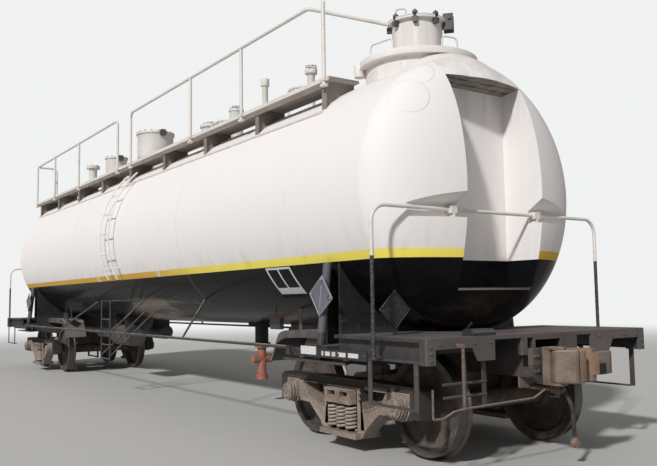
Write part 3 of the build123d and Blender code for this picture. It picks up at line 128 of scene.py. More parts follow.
# Which finish each node takes, by the beginning of its name
NODE_FINISH = {
    "tank_barrel": "tank_paint", "head": "tank_paint", "dome_collar": "tank_paint",
    "dome_neck": "tank_paint", "dome_cover": "fitting_paint", "dome_eye_bolts": "bolt_paint",
    "large_dome": "fitting_paint", "small_dome": "fitting_paint", "top_valves": "fitting_paint",
    "walkway": "walkway_paint", "handrail": "rail_paint", "side_ladder": "ladder_paint",
    "side_rails": "rail_paint", "end_handrail": "rail_paint", "stub_sill": "deck_paint",
    "side_bars": "bar_paint", "wheel_guards": "guard_paint", "body_bolster": "deck_paint",
    "end_deck": "deck_paint", "end_steps": "deck_paint",
    "uncoupling_lever": "lever_iron", "brake_pipe": "lever_iron", "brake_vessels": "deck_paint",
    "hand_brake": "deck_paint", "placard_holders": "placard_paint", "bottom_outlet": "valve_paint",
    "hose_coupling": "coupler_iron", "coupler": "coupler_iron", "knuckle": "coupler_iron",
    "side_frames": "truck_iron", "truck_bolster": "bolster_dust", "springs": "spring_steel",
    "bearings": "truck_iron", "brake_beams": "bolster_dust", "wheelset": "wheel_steel",
    "air_hose": "hose_rubber",
}


class Value:
    """A socket of a finish. Arithmetic on it adds Math nodes."""

    def __init__(self, finish, socket):
        self.finish = finish
        self.socket = socket

    def sum(self, operation, first, second=0.0):
        return self.finish.add("ShaderNodeMath", {"operation": operation}, {0: first, 1: second})

    def __add__(self, other):
        return self.sum("ADD", self, other)

    __radd__ = __add__

    def __sub__(self, other):
        return self.sum("SUBTRACT", self, other)

    def __rsub__(self, other):
        return self.sum("SUBTRACT", other, self)

    def __mul__(self, other):
        return self.sum("MULTIPLY", self, other)

    __rmul__ = __mul__

    def __abs__(self):
        return self.sum("ABSOLUTE", self)

    def root(self):
        return self.sum("SQRT", self)

    def above(self, low, high):
        """0 below low and 1 above high, with a smooth step between them."""
        settings = {"interpolation_type": "SMOOTHSTEP"}
        return self.finish.add("ShaderNodeMapRange", settings, {0: self, 1: low, 2: high, 3: 0.0, 4: 1.0})

    def greater(self, other):
        return self.sum("GREATER_THAN", self, other)

    def largest(self, other):
        return self.sum("MAXIMUM", self, other)

    def inside(self, low, high):
        """1 between two numbers and 0 outside them."""
        return self.greater(low) * (1.0 - self.greater(high))


class Finish:
    """A procedural finish, built from nodes on Object coordinates."""

    def __init__(self, name, rough, specular=0.5):
        self.material = bpy.data.materials.new(name)
        self.material.use_nodes = True
        self.tree = self.material.node_tree
        self.shader = self.tree.nodes["Principled BSDF"]
        self.feed(self.shader.inputs["Roughness"], rough)
        self.feed(self.shader.inputs["Specular IOR Level"], specular)
        self.place = self.add("ShaderNodeTexCoord", {}, {}, "Object")

    def feed(self, socket, value):
        if isinstance(value, Value):
            self.tree.links.new(value.socket, socket)
        elif isinstance(value, (tuple, list)) and len(value) == 3 and socket.type == "RGBA":
            socket.default_value = (*value, 1.0)
        else:
            socket.default_value = value

    def add(self, kind, settings, inputs, output=0):
        """Adds one node: its settings first, then its sockets."""
        node = self.tree.nodes.new(kind)
        for label, value in settings.items():
            setattr(node, label, value)
        for label, value in inputs.items():
            self.feed(node.inputs[label], value)
        return Value(self, node.outputs[output])

    def axes(self):
        """The Object coordinates as three numbers."""
        node = self.add("ShaderNodeSeparateXYZ", {}, {0: self.place}).socket.node
        return [Value(self, socket) for socket in node.outputs]

    def facing_up(self):
        """How far a face looks up, from -1 to 1."""
        normal = self.add("ShaderNodeNewGeometry", {}, {}, "Normal")
        return self.add("ShaderNodeSeparateXYZ", {}, {0: normal}, "Z")

    def noise(self, scale, detail=3.0, stretch=(1.0, 1.0, 1.0), shift=0.0):
        place = self.add("ShaderNodeMapping", {}, {0: self.place, 1: (shift, shift, shift), 3: stretch})
        inputs = {"Vector": place, "Scale": scale, "Detail": detail, "Roughness": 0.6}
        return self.add("ShaderNodeTexNoise", {}, inputs, "Fac")

    def mix(self, share, first, second):
        inputs = {0: share, 6: first, 7: second}
        return self.add("ShaderNodeMix", {"data_type": "RGBA"}, inputs, 2)

    def color(self, value):
        self.feed(self.shader.inputs["Base Color"], value)

    def rough(self, value):
        self.feed(self.shader.inputs["Roughness"], value)

    def relief(self, height, distance, strength=1.0, edge=0.0):
        """Bumps the surface, and rounds its hard edges where edge is given."""
        inputs = {"Height": height, "Distance": distance, "Strength": strength}
        if edge:
            inputs["Normal"] = self.add("ShaderNodeBevel", {"samples": 4}, {"Radius": edge})
        self.feed(self.shader.inputs["Normal"], self.add("ShaderNodeBump", {}, inputs))


def make_tank_paint(white, yellow, black):
    """White over a yellow stripe and a glossy black belly, with streaks and dust, and painted shade in the
    slot and on the stripe's +Y side.
    """
    finish = Finish("tank_paint", 0.34, specular=0.06)
    x, y, z = finish.axes()
    streak = finish.noise(7.0, 4.0, (1.0, 1.0, 0.08))
    cloud = finish.noise(0.9, 4.0)
    speck = finish.noise(26.0, 5.0, shift=3.0)
    up = finish.facing_up()
    pale = finish.mix(streak.above(0.5, 0.8) * 0.25, white, [c * 0.90 for c in white])
    pale = finish.mix(cloud.above(0.45, 0.8) * 0.25, pale, (0.74, 0.71, 0.69))
    top = z.above(3.55, 3.85) * cloud.above(0.3, 0.6)
    pale = finish.mix(top * 0.4, pale, (0.62, 0.58, 0.53))
    low = 1.0 - z.above(BAND_HIGH, 2.25)
    pale = finish.mix(low * streak.above(0.4, 0.7) * 0.35, pale, (0.62, 0.58, 0.52))
    cove = abs(x).greater(SLOT_FACE) * (SLOT_HALF + 0.004 - abs(y)).greater(0.0)
    # Painted shade: faces in the slot that look down are painted dark brown, with darker lines across them
    # where three ribs run.
    hood = cove * (0.0 - up).above(0.5, 0.9)
    pale = finish.mix(hood * 0.9, pale, (0.16, 0.135, 0.115))
    for place in (6.47, 6.56, 6.66):
        pale = finish.mix(hood * (0.013 - abs(x - place)).above(0.0, 0.006), pale, (0.045, 0.036, 0.03))
    # Painted shade: a near-black band where the slot's back panel meets its side walls, darkest towards the
    # top.
    corner_shade = cove * (1.0 - x.greater(SLOT_FACE + 0.05)) * abs(y).greater(SLOT_HALF - 0.022)
    pale = finish.mix(corner_shade * (0.35 + z.above(2.85, 3.1) * 0.6), pale, (0.02, 0.018, 0.018))
    run = finish.noise(9.0, 3.0, (1.0, 1.0, 0.05), 6.0)
    stain = cove * z.above(2.9, 3.6) * run.above(0.4, 0.7)
    pale = finish.mix(stain * 0.4, pale, (0.52, 0.48, 0.43))
    amber = (yellow[0] * 0.90, yellow[1] * 0.76, yellow[2])
    tone = finish.mix(x.above(0.6, 3.6), amber, (0.93, 0.79, 0.15))
    # Painted shade: the stripe turns a darker orange on the +Y side.
    tone = finish.mix(y.above(0.1, 0.5), tone, (0.74, 0.44, 0.05))
    stripe = finish.mix(streak.above(0.5, 0.75) * 0.4, tone, (0.62, 0.44, 0.10))
    scuffed = x.inside(-1.40, -1.26).largest(x.inside(1.33, 1.43)) * speck.above(0.3, 0.5)
    stripe = finish.mix(scuffed * 0.8, stripe, (0.70, 0.67, 0.62))
    dust = finish.mix(speck.above(0.45, 0.8) * cloud.above(0.4, 0.65) * 0.3, black, (0.07, 0.06, 0.052))
    smear = finish.noise(1.3, 5.0, (0.35, 1.0, 2.2), 9.0)
    under = 1.0 - z.above(1.16, 1.62)
    dust = finish.mix(under * smear.above(0.45, 0.7) * 0.5, dust, (0.13, 0.10, 0.075))
    splashed = x.above(-1.1, -0.5) * (1.0 - x.above(0.9, 2.8)) * (1.0 - z.above(1.42, 1.54))
    dust = finish.mix(splashed * smear.above(0.46, 0.58) * 0.75, dust, (0.34, 0.275, 0.22))
    ledge = cove * (1.0 - z.greater(1.60)) * up.above(0.6, 0.95)
    lip = z.inside(*LIP_Z) * x.greater(SLOT_FACE) * (SLOT_HALF - 0.02 - abs(y)).greater(0.0)
    dust = finish.mix(ledge.largest(lip) * 0.85, dust, (0.30, 0.265, 0.235))
    in_panel = x.inside(*PANEL_X) * z.inside(*PANEL_Z) * (0.0 - y).greater(0.0)
    windows = x.inside(*PANEL_WINDOWS[0]).largest(x.inside(*PANEL_WINDOWS[1])) * z.inside(*PANEL_WINDOW_Z)
    dust = finish.mix(in_panel * (1.0 - windows), dust, (0.66, 0.65, 0.64))
    band = z.inside(BAND_LOW, BAND_HIGH) * (1.0 - cove)
    color = finish.mix(z.greater(BAND_LOW), dust, pale)
    color = finish.mix(band, color, stripe)
    line = (0.009 - abs(x - SEAMS[1])).above(0.0, 0.005)
    line = line.largest((0.009 - abs(x - SEAMS[3])).above(0.0, 0.005))
    finish.color(finish.mix(line * 0.35, color, (0.40, 0.37, 0.34)))
    gloss = 0.13 + speck * 0.16
    rough = {0: z.greater(BAND_LOW), 2: gloss, 3: 0.40 + speck * 0.2}
    finish.rough(finish.add("ShaderNodeMix", {"data_type": "FLOAT"}, rough))
    seam = 0.0
    for place in SEAMS:
        seam = (0.014 - abs(x - place)).above(0.0, 0.012) + seam
    height = cloud * 0.7 + speck * 0.02 + seam * 0.22
    for place in PATCHES:
        ends = {0: finish.place, 1: place}
        apart = finish.add("ShaderNodeVectorMath", {"operation": "DISTANCE"}, ends, "Value")
        height = (0.205 - apart).above(0.0, 0.014) * 0.45 + height
    finish.relief(height, 0.02, 0.5)
    return finish.material


def make_rail_paint(name, cream, black, dirt):
    """Cream above the black band and worn black below it."""
    finish = Finish(name, 0.45)
    z = finish.axes()[2]
    speck = finish.noise(45.0, 5.0)
    patch = finish.noise(5.0, 4.0, shift=2.0)
    up = finish.facing_up()
    pale = finish.mix(patch.above(0.45, 0.75) * dirt, cream, (0.52, 0.48, 0.43))
    pale = finish.mix(speck.above(0.62, 0.7) * 0.6, pale, (0.27, 0.16, 0.10))
    dark = finish.mix(speck.above(0.4, 0.75) * 0.6, black, (0.16, 0.145, 0.13))
    dark = finish.mix(up.above(0.2, 0.9) * patch.above(0.3, 0.6) * 0.6, dark, (0.34, 0.31, 0.28))
    finish.color(finish.mix(z.greater(BAND_LOW), dark, pale))
    finish.rough(0.38 + speck * 0.3)
    finish.relief(speck, 0.002, 0.4, 0.003)
    return finish.material


def make_walkway_paint(cream, shade):
    """Cream on the beam's top lip and on what faces up, painted shade on the brackets, and painted light on
    the underside.
    """
    finish = Finish("walkway_paint", 0.5)
    _, y, z = finish.axes()
    speck = finish.noise(40.0, 5.0)
    patch = finish.noise(3.0, 4.0, shift=2.0)
    up = finish.facing_up()
    lip = z.greater(WALK_LIP) * (TREAD_Y[0] - y).greater(0.0)
    # Painted shade: below the beam's lip, faces that do not look up take the dark shade colour.
    color = finish.mix(lip.largest(up.above(0.3, 0.8)), shade, cream)
    # Painted light: faces that look down take the shade colour made 2.2 times brighter.
    color = finish.mix((0.0 - up).above(0.3, 0.8), color, [c * 2.2 for c in shade])
    color = finish.mix(patch.above(0.4, 0.7) * 0.3, color, (0.42, 0.38, 0.33))
    finish.color(finish.mix(speck.above(0.62, 0.7) * 0.5, color, (0.25, 0.17, 0.12)))
    finish.rough(0.45 + speck * 0.3)
    finish.relief(speck, 0.002, 0.4, 0.003)
    return finish.material


def make_valve_paint(red, grime, black):
    """Red on the lower part of the outlet and black above it."""
    finish = Finish("valve_paint", 0.6)
    z = finish.axes()[2]
    speck = finish.noise(38.0, 6.0)
    patch = finish.noise(9.0, 5.0, shift=5.0)
    color = finish.mix(patch.above(0.35, 0.7) * 0.7, red, grime)
    color = finish.mix(speck.above(0.55, 0.68) * 0.7, color, (0.06, 0.045, 0.04))
    finish.color(finish.mix(z.greater(OUTLET_BLACK_Z), color, black))
    finish.rough(0.5 + speck * 0.35)
    finish.relief(speck, 0.003, 0.4, 0.004)
    return finish.material


def make_fitting_paint(name, grey, grime):
    """Weathered paint with specks of rust, and dirt on what faces up."""
    finish = Finish(name, 0.5)
    speck = finish.noise(38.0, 6.0)
    patch = finish.noise(4.0, 5.0, shift=5.0)
    up = finish.facing_up()
    color = finish.mix(patch.above(0.4, 0.75) * 0.6, grey, grime)
    color = finish.mix(speck.above(0.6, 0.7) * patch.above(0.3, 0.6) * 0.8, color, (0.20, 0.11, 0.065))
    color = finish.mix(up.above(0.5, 0.95) * speck.above(0.4, 0.6) * 0.35, color, (0.40, 0.36, 0.31))
    finish.color(color)
    finish.rough(0.42 + speck * 0.35)
    finish.relief(speck, 0.003, 0.4, 0.004)
    return finish.material


def make_bar_paint(black, dust):
    """Worn black on the side bars, with a little dust."""
    finish = Finish("bar_paint", 0.5)
    speck = finish.noise(40.0, 5.0)
    finish.color(finish.mix(speck.above(0.45, 0.75) * 0.45, black, dust))
    finish.rough(0.42 + speck * 0.3)
    finish.relief(speck, 0.002, 0.4, 0.003)
    return finish.material


def make_deck_paint(name, black, dust):
    """Satin black with road dust on what faces up and rust at random places."""
    finish = Finish(name, 0.5)
    x, y, z = finish.axes()
    speck = finish.noise(34.0, 6.0)
    patch = finish.noise(3.2, 5.0, shift=1.0)
    up = finish.facing_up()
    color = finish.mix(patch.above(0.38, 0.72) * 0.55, black, [c * 0.45 for c in dust])
    color = finish.mix(up.above(0.3, 0.9) * (0.35 + patch * 0.5), color, dust)
    low = 1.0 - z.above(0.86, 0.98)
    color = finish.mix(low * (0.2 + patch * 0.4), color, [c * 0.6 for c in dust])
    color = finish.mix(z.above(1.14, 1.2) * 0.8, color, [c * 0.4 for c in black])
    front = abs(x).greater(7.36) * z.greater(0.86)
    color = finish.mix(front * (0.3 + patch * 0.4), color, [c * 0.85 for c in dust])
    strut = abs(abs(x) - TRUCK_X).above(0.05, 0.055)
    strut = (1.0 - strut) * abs(y).greater(0.80) * z.greater(1.13)
    color = finish.mix(strut, color, (0.085, 0.09, 0.105))
    color = finish.mix(speck.above(0.6, 0.68) * patch.above(0.35, 0.6) * 0.6, color, (0.23, 0.13, 0.08))
    finish.color(color)
    finish.rough(0.42 + speck * 0.35)
    finish.relief(speck, 0.003, 0.45, 0.005)
    return finish.material


def make_iron(name, base, pale, rust):
    """Cast iron under dust: pale on top and in specks, with rust in patches."""
    finish = Finish(name, 0.85)
    speck = finish.noise(42.0, 7.0)
    patch = finish.noise(4.5, 5.0, shift=7.0)
    up = finish.facing_up()
    color = finish.mix(patch.above(0.35, 0.65), base, rust)
    color = finish.mix(speck.above(0.4, 0.75) * 0.7, color, pale)
    color = finish.mix(up.above(0.1, 0.9) * 0.65, color, pale)
    finish.color(color)
    finish.rough(0.72 + speck * 0.25)
    finish.relief(speck, 0.004, 0.6, 0.006)
    return finish.material


def make_frame_iron(base, pale, rust, oil_and_shade):
    """Dusty cast iron on the side frames, with near-black painted shade on the top chord, beside the columns
    and at the ends.
    """
    finish = Finish("frame_iron", 0.85)
    x, _, z = finish.axes()
    speck = finish.noise(42.0, 7.0)
    patch = finish.noise(4.5, 5.0, shift=7.0)
    color = finish.mix(patch.above(0.35, 0.65) * 0.7, base, rust)
    color = finish.mix(speck.above(0.4, 0.75) * 0.5, color, pale)
    # Painted shade: near-black on the top chord, in a V that widens upward between column and pedestal, and
    # at the frame's ends.
    off = abs(abs(x) - TRUCK_X)
    chord = z.above(0.598, 0.608)
    fork = (0.275 + (z - 0.42) * 0.9 - off).above(0.0, 0.012) * z.above(0.42, 0.44) * off.above(0.265, 0.275)
    dark = chord.largest(fork).largest(off.above(1.00, 1.02))
    color = finish.mix(dark * (0.75 + speck * 0.3), color, oil_and_shade)
    finish.color(color)
    finish.rough(0.72 + speck * 0.25)
    finish.relief(speck, 0.004, 0.6, 0.006)
    return finish.material


def make_coupler_iron(base, pale, rust, oil_and_shade):
    """Brown worn iron on the couplers; on the near one, an oily black joint line and a block of painted shade
    on the guard.
    """
    finish = Finish("coupler_iron", 0.7)
    x, y, z = finish.axes()
    speck = finish.noise(60.0, 6.0)
    patch = finish.noise(7.0, 5.0, shift=7.0)
    color = finish.mix(patch.above(0.35, 0.65), base, rust)
    color = finish.mix(speck.above(0.45, 0.8) * 0.35, color, pale)
    color = finish.mix(finish.facing_up().above(0.1, 0.9) * 0.6, color, pale)
    out = abs(x).greater(7.50)
    joint = (0.008 - abs(y + 0.078)).above(0.0, 0.006) * z.above(0.72, 0.74)
    # Painted shade: a near-black block on the guard, below the knuckle's top.
    shade = y.above(0.232, 0.242) * (1.0 - y.above(0.33, 0.34)) * (1.0 - z.above(0.855, 0.87))
    throat = y.above(-0.075, -0.065) * (1.0 - y.above(0.22, 0.24)) * out
    color = finish.mix(throat * 0.6, color, (0.27, 0.155, 0.095))
    color = finish.mix(out * joint.largest(shade) * x.greater(0.0), color, oil_and_shade)
    finish.color(color)
    finish.rough(0.6 + speck * 0.3)
    finish.relief(speck * 0.6 + patch, 0.004, 0.6, 0.006)
    return finish.material


def make_wheel_steel(plate, pale, tread):
    """Dark dusty wheel plates, darkened further as painted shade, and a bright worn tread."""
    finish = Finish("wheel_steel", 0.8)
    x, _, z = finish.axes()
    ring = abs(abs(abs(x) - TRUCK_X) - WHEELBASE / 2)
    drop = z - AXLE_Z
    radius = (ring * ring + drop * drop).root()
    speck = finish.noise(42.0, 6.0)
    patch = finish.noise(5.0, 5.0, shift=4.0)
    # Painted shade: the plate and its dust are kept near-black for the shade under the deck, over the steel's
    # own dark grime.
    color = finish.mix(patch.above(0.35, 0.7) * 0.8, plate, pale)
    color = finish.mix(speck.above(0.45, 0.8) * 0.5, color, (0.24, 0.15, 0.10))
    worn = radius.above(*WORN_TREAD_R)
    finish.color(finish.mix(worn, color, tread))
    finish.feed(finish.shader.inputs["Metallic"], worn)
    finish.rough(0.82 - worn * 0.45)
    finish.relief(speck, 0.003, 0.5, 0.005)
    return finish.material


def make_rubber(black):
    """Dusty rubber with a fine grain."""
    finish = Finish("hose_rubber", 0.5)
    speck = finish.noise(90.0, 5.0)
    patch = finish.noise(12.0, 4.0)
    finish.color(finish.mix(patch.above(0.4, 0.7) * 0.4, black, (0.12, 0.105, 0.09)))
    finish.rough(0.4 + speck * 0.3)
    finish.relief(speck, 0.001, 0.4)
    return finish.material


FINISHES = {}

# Iron: its base, its pale dust and its rust
IRON_TONES = {
    "truck_iron": ((0.21, 0.165, 0.135), (0.40, 0.335, 0.285), (0.12, 0.085, 0.065)),
    "lever_iron": ((0.11, 0.085, 0.07), (0.25, 0.21, 0.18), (0.14, 0.085, 0.06)),
    "spring_steel": ((0.30, 0.24, 0.20), (0.46, 0.39, 0.34), (0.16, 0.115, 0.09)),
    "bolster_dust": ((0.12, 0.095, 0.08), (0.28, 0.235, 0.205), (0.08, 0.06, 0.05)),
}

# Iron with oil and painted shade on it: its base, its pale dust, its rust and the near-black of both
COUPLER_TONES = ((0.19, 0.15, 0.12), (0.34, 0.285, 0.25), (0.13, 0.08, 0.055), (0.008, 0.008, 0.008))
FRAME_TONES = ((0.23, 0.18, 0.15), (0.42, 0.355, 0.305), (0.15, 0.11, 0.085), (0.012, 0.011, 0.010))

# Wheels: the plate and its pale dust, both darkened as painted shade, and the tread. Outlet: red, grime and
# black
WHEEL_TONES = ((0.035, 0.030, 0.027), (0.125, 0.10, 0.085), (0.13, 0.12, 0.11))
VALVE_TONES = ((0.36, 0.085, 0.055), (0.30, 0.20, 0.16), (0.012, 0.012, 0.013))

# Paint on fittings: its colour and its grime
FITTING_TONES = {
    "fitting_paint": ((0.66, 0.635, 0.60), (0.50, 0.465, 0.42)),
    "bolt_paint": ((0.06, 0.055, 0.05), (0.20, 0.18, 0.16)),
    "plate_paint": ((0.66, 0.63, 0.60), (0.50, 0.45, 0.40)),
    "placard_paint": ((0.10, 0.108, 0.13), (0.16, 0.165, 0.18)),
    "rim_paint": ((0.30, 0.31, 0.34), (0.20, 0.20, 0.21)),
}

# Black paint under road dust: its colour and the dust's
DECK_TONES = {
    "deck_paint": ((0.026, 0.027, 0.031), (0.17, 0.145, 0.13)),
    "guard_paint": ((0.05, 0.046, 0.045), (0.36, 0.33, 0.31)),
}
BAR_TONES = ((0.02, 0.021, 0.025), (0.14, 0.13, 0.12))
RAIL_BLACK = (0.02, 0.021, 0.024)
HOSE_BLACK = (0.018, 0.018, 0.02)
# Walkway: its painted shade below the beam's lip
WALKWAY_SHADE = (0.20, 0.175, 0.155)


def build_finishes(sizes):
    white = sizes.white[:]
    cream = sizes.cream[:]
    FINISHES["tank_paint"] = make_tank_paint(white, sizes.yellow[:], sizes.black[:])
    FINISHES["rail_paint"] = make_rail_paint("rail_paint", cream, RAIL_BLACK, 0.5)
    FINISHES["ladder_paint"] = make_rail_paint("ladder_paint", white, RAIL_BLACK, 0.2)
    FINISHES["walkway_paint"] = make_walkway_paint(cream, WALKWAY_SHADE)
    for name, tones in FITTING_TONES.items():
        FINISHES[name] = make_fitting_paint(name, *tones)
    for name, tones in DECK_TONES.items():
        FINISHES[name] = make_deck_paint(name, *tones)
    for name, tones in IRON_TONES.items():
        FINISHES[name] = make_iron(name, *tones)
    FINISHES["coupler_iron"] = make_coupler_iron(*COUPLER_TONES)
    FINISHES["frame_iron"] = make_frame_iron(*FRAME_TONES)
    FINISHES["bar_paint"] = make_bar_paint(*BAR_TONES)
    FINISHES["wheel_steel"] = make_wheel_steel(*WHEEL_TONES)
    FINISHES["valve_paint"] = make_valve_paint(*VALVE_TONES)
    FINISHES["hose_rubber"] = make_rubber(HOSE_BLACK)


def finish_of(node):
    found = [key for key in NODE_FINISH if node == key or node.startswith(key + "_")]
    return NODE_FINISH[max(found, key=len)]


def make_piece(name, mesh, finish, body):
    """Turns a bmesh into an object at the origin, with its finish, slot and body."""
    data = bpy.data.meshes.new(name)
    mesh.to_mesh(data)
    mesh.free()
    piece = bpy.data.objects.new(name, data)
    bpy.context.scene.collection.objects.link(piece)
    data.materials.append(FINISHES[finish])
    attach(piece, body)
    return piece


def smooth(mesh):
    for face in mesh.faces:
        face.smooth = True


def bar(mesh, start, end, radius, sides=12):
    """Adds a round bar between two points."""
    start, end = Vector(start), Vector(end)
    turn = (end - start).to_track_quat("Z", "Y").to_matrix().to_4x4()
    place = Matrix.Translation((start + end) / 2) @ turn
    depth = (end - start).length
    bmesh.ops.create_cone(
        mesh, cap_ends=True, segments=sides, radius1=radius, radius2=radius, depth=depth, matrix=place
    )


def slab(mesh, low, high, edge=0.0, turn=None):
    """Adds a box between two corners, with bevelled edges."""
    low, high = Vector(low), Vector(high)
    size = high - low
    place = Matrix.Translation((low + high) / 2) @ (turn or Matrix.Identity(4))
    place = place @ Matrix.Diagonal((*size, 1.0))
    verts = bmesh.ops.create_cube(mesh, size=1.0, matrix=place)["verts"]
    if edge:
        edges = list({edge for vert in verts for edge in vert.link_edges})
        bmesh.ops.bevel(
            mesh, geom=edges, offset=edge, segments=2, profile=0.5, affect="EDGES", material=-1,
            clamp_overlap=True,
        )


def bolt(mesh, place, way, radius, height):
    """Adds a hexagon head on its washer."""
    place, way = Vector(place), Vector(way).normalized()
    bar(mesh, place - way * 0.004, place + way * height * 0.25, radius * 1.35, 12)
    bar(mesh, place, place + way * height, radius, 6)


def bent_bar(mesh, points, radius, bend, sides=10):
    """Adds a round bar along straight runs joined by arcs."""
    points = [Vector(point) for point in points]
    way = (points[1] - points[0]).normalized()
    turn = way.to_track_quat("Z", "Y").to_matrix().to_4x4()
    place = Matrix.Translation(points[0]) @ turn
    ring = bmesh.ops.create_circle(mesh, cap_ends=True, radius=radius, segments=sides, matrix=place)["verts"]
    edges = list({edge for vert in ring for edge in vert.link_edges})
    here = points[0]
    for number in range(1, len(points)):
        corner = points[number]
        last = number == len(points) - 1
        angle = 0.0 if last else way.angle(points[number + 1] - corner)
        cut = bend * math.tan(angle / 2)
        new = bmesh.ops.extrude_edge_only(mesh, edges=edges)["geom"]
        verts = {item for item in new if isinstance(item, bmesh.types.BMVert)}
        edges = [item for item in new if isinstance(item, bmesh.types.BMEdge) and set(item.verts) <= verts]
        bmesh.ops.translate(mesh, verts=list(verts), vec=corner - way * cut - here)
        if last:
            bmesh.ops.edgeloop_fill(mesh, edges=edges)
            break
        after = (points[number + 1] - corner).normalized()
        axis = way.cross(after).normalized()
        centre = corner - way * cut + axis.cross(way) * bend
        arc = bmesh.ops.spin(
            mesh, geom=edges, cent=centre, axis=axis, angle=angle, steps=max(2, int(angle / 0.26)),
            use_duplicate=False,
        )
        edges = [item for item in arc["geom_last"] if isinstance(item, bmesh.types.BMEdge)]
        here = corner + after * cut
        way = after


def copy_of(node):
    """A merged copy of a node's mesh, with its flat faces whole."""
    mesh = bmesh.new()
    mesh.from_mesh(NODES[node].data)
    bmesh.ops.remove_doubles(mesh, verts=mesh.verts, dist=1e-5)
    bmesh.ops.dissolve_limit(mesh, angle_limit=math.radians(1.0), verts=mesh.verts, edges=mesh.edges)
    return mesh


def round_edges(mesh, width):
    """Rounds the hard edges and smooths the curved faces."""
    for face in mesh.faces:
        angles = [math.degrees(edge.calc_face_angle(0.0)) for edge in face.edges]
        face.smooth = any(2.0 < angle < 31.0 for angle in angles)
    sharp = math.radians(35.0)
    edges = [edge for edge in mesh.edges if edge.is_manifold and edge.calc_face_angle() > sharp]
    new = bmesh.ops.bevel(
        mesh, geom=edges, offset=width, segments=2, profile=0.5, affect="EDGES", material=-1,
        clamp_overlap=True,
    )
    for face in new["faces"]:
        face.smooth = True


class StageSettings(bpy.types.PropertyGroup):
    """Camera, floor and light."""

    key_power: bpy.props.FloatProperty(
        name="Key light", description="Strength of the main light", default=3.0
    )
    fill_power: bpy.props.FloatProperty(
        name="Fill light", description="Strength of the light all round", default=0.30
    )
    background: bpy.props.FloatVectorProperty(
        name="Background", description="Colour behind the car", subtype="COLOR", default=(0.88, 0.885, 0.89)
    )


class CarSettings(bpy.types.PropertyGroup):
    """Colours and sizes of the car's finishes and small pieces."""

    white: bpy.props.FloatVectorProperty(
        name="White", description="Tank above the stripe", subtype="COLOR", default=(0.80, 0.765, 0.75)
    )
    yellow: bpy.props.FloatVectorProperty(
        name="Stripe", description="Stripe along the tank", subtype="COLOR", default=(0.70, 0.50, 0.07)
    )
    black: bpy.props.FloatVectorProperty(
        name="Black", description="Tank below the stripe", subtype="COLOR", default=(0.006, 0.006, 0.007)
    )
    cream: bpy.props.FloatVectorProperty(
        name="Cream", description="Handrails and walkway", subtype="COLOR", default=(0.70, 0.665, 0.62)
    )
    frame_rim: bpy.props.FloatProperty(
        name="Frame rim", description="Width of the rim round a side frame's web", unit="LENGTH",
        default=0.028,
    )
    frame_sink: bpy.props.FloatProperty(
        name="Frame web", description="How far the side frame's web is sunk", unit="LENGTH", default=0.020
    )
    spring_turns: bpy.props.FloatProperty(
        name="Spring turns", description="Turns of a coil spring", default=6.5
    )
    spring_wire: bpy.props.FloatProperty(
        name="Spring wire", description="Radius of the spring's wire", unit="LENGTH", default=0.0135
    )


class TANKCAR_OT_stage(bpy.types.Operator):
    """Makes the camera, the floor and the lights"""

    bl_idname = "tankcar.stage"
    bl_label = "Stage"

    def execute(self, context):
        settings = context.scene.tankcar_stage
        yaw, pitch, roll = [math.radians(angle) for angle in CAMERA_TURN]
        forward = Vector((-math.cos(yaw) * math.cos(pitch), math.sin(yaw) * math.cos(pitch), math.sin(pitch)))
        level = Vector((math.sin(yaw), math.cos(yaw), 0.0))
        upward = level.cross(forward)
        right = math.cos(roll) * level + math.sin(roll) * upward
        above = -math.sin(roll) * level + math.cos(roll) * upward
        camera = bpy.data.objects.new("photo_camera", bpy.data.cameras.new("photo_camera"))
        camera.data.lens = FOCAL_PX / PHOTO_WIDTH_PX * SENSOR_WIDTH
        camera.data.sensor_width = SENSOR_WIDTH
        camera.data.clip_end = 400
        turn = Matrix((right, above, -forward)).transposed().to_4x4()
        camera.matrix_world = Matrix.Translation(CAMERA_PLACE) @ turn
        context.scene.collection.objects.link(camera)
        context.scene.camera = camera

        sun = bpy.data.objects.new("key", bpy.data.lights.new("key", "SUN"))
        sun.data.energy = settings.key_power
        sun.data.angle = math.radians(4)
        sun.rotation_euler = Vector((-0.39, 0.73, -0.56)).to_track_quat("-Z", "Y").to_euler()
        context.scene.collection.objects.link(sun)

        world = bpy.data.worlds.new("studio")
        world.use_nodes = True
        context.scene.world = world
        tree = world.node_tree
        light = tree.nodes["Background"]
        light.inputs["Color"].default_value = (1.0, 1.0, 1.0, 1.0)
        light.inputs["Strength"].default_value = settings.fill_power
        plain = tree.nodes.new("ShaderNodeBackground")
        plain.inputs["Color"].default_value = (*settings.background, 1.0)
        ray = tree.nodes.new("ShaderNodeLightPath")
        pick = tree.nodes.new("ShaderNodeMixShader")
        tree.links.new(ray.outputs["Is Camera Ray"], pick.inputs[0])
        tree.links.new(light.outputs[0], pick.inputs[1])
        tree.links.new(plain.outputs[0], pick.inputs[2])
        tree.links.new(pick.outputs[0], tree.nodes["World Output"].inputs[0])

        mesh = bmesh.new()
        bmesh.ops.create_circle(mesh, cap_ends=True, radius=150, segments=64)
        bmesh.ops.translate(mesh, verts=mesh.verts, vec=(0, 0, -0.002))
        data = bpy.data.meshes.new("floor")
        mesh.to_mesh(data)
        mesh.free()
        floor = bpy.data.objects.new("floor", data)
        context.scene.collection.objects.link(floor)
        finish = Finish("floor", 0.9)
        finish.color((0.50, 0.495, 0.48))
        x, y, _ = finish.axes()
        far = (x * x + y * y).root().above(*FLOOR_FADE)
        ray = finish.add("ShaderNodeLightPath", {}, {}, "Is Camera Ray")
        glow = finish.add("ShaderNodeEmission", {}, {0: settings.background[:], 1: 1.0})
        surface = Value(finish, finish.shader.outputs[0])
        blend = finish.add("ShaderNodeMixShader", {}, {0: far * ray, 1: surface, 2: glow})
        finish.tree.links.new(blend.socket, finish.tree.nodes["Material Output"].inputs[0])
        data.materials.append(finish.material)
        context.scene.view_settings.view_transform = "Standard"
        return {"FINISHED"}


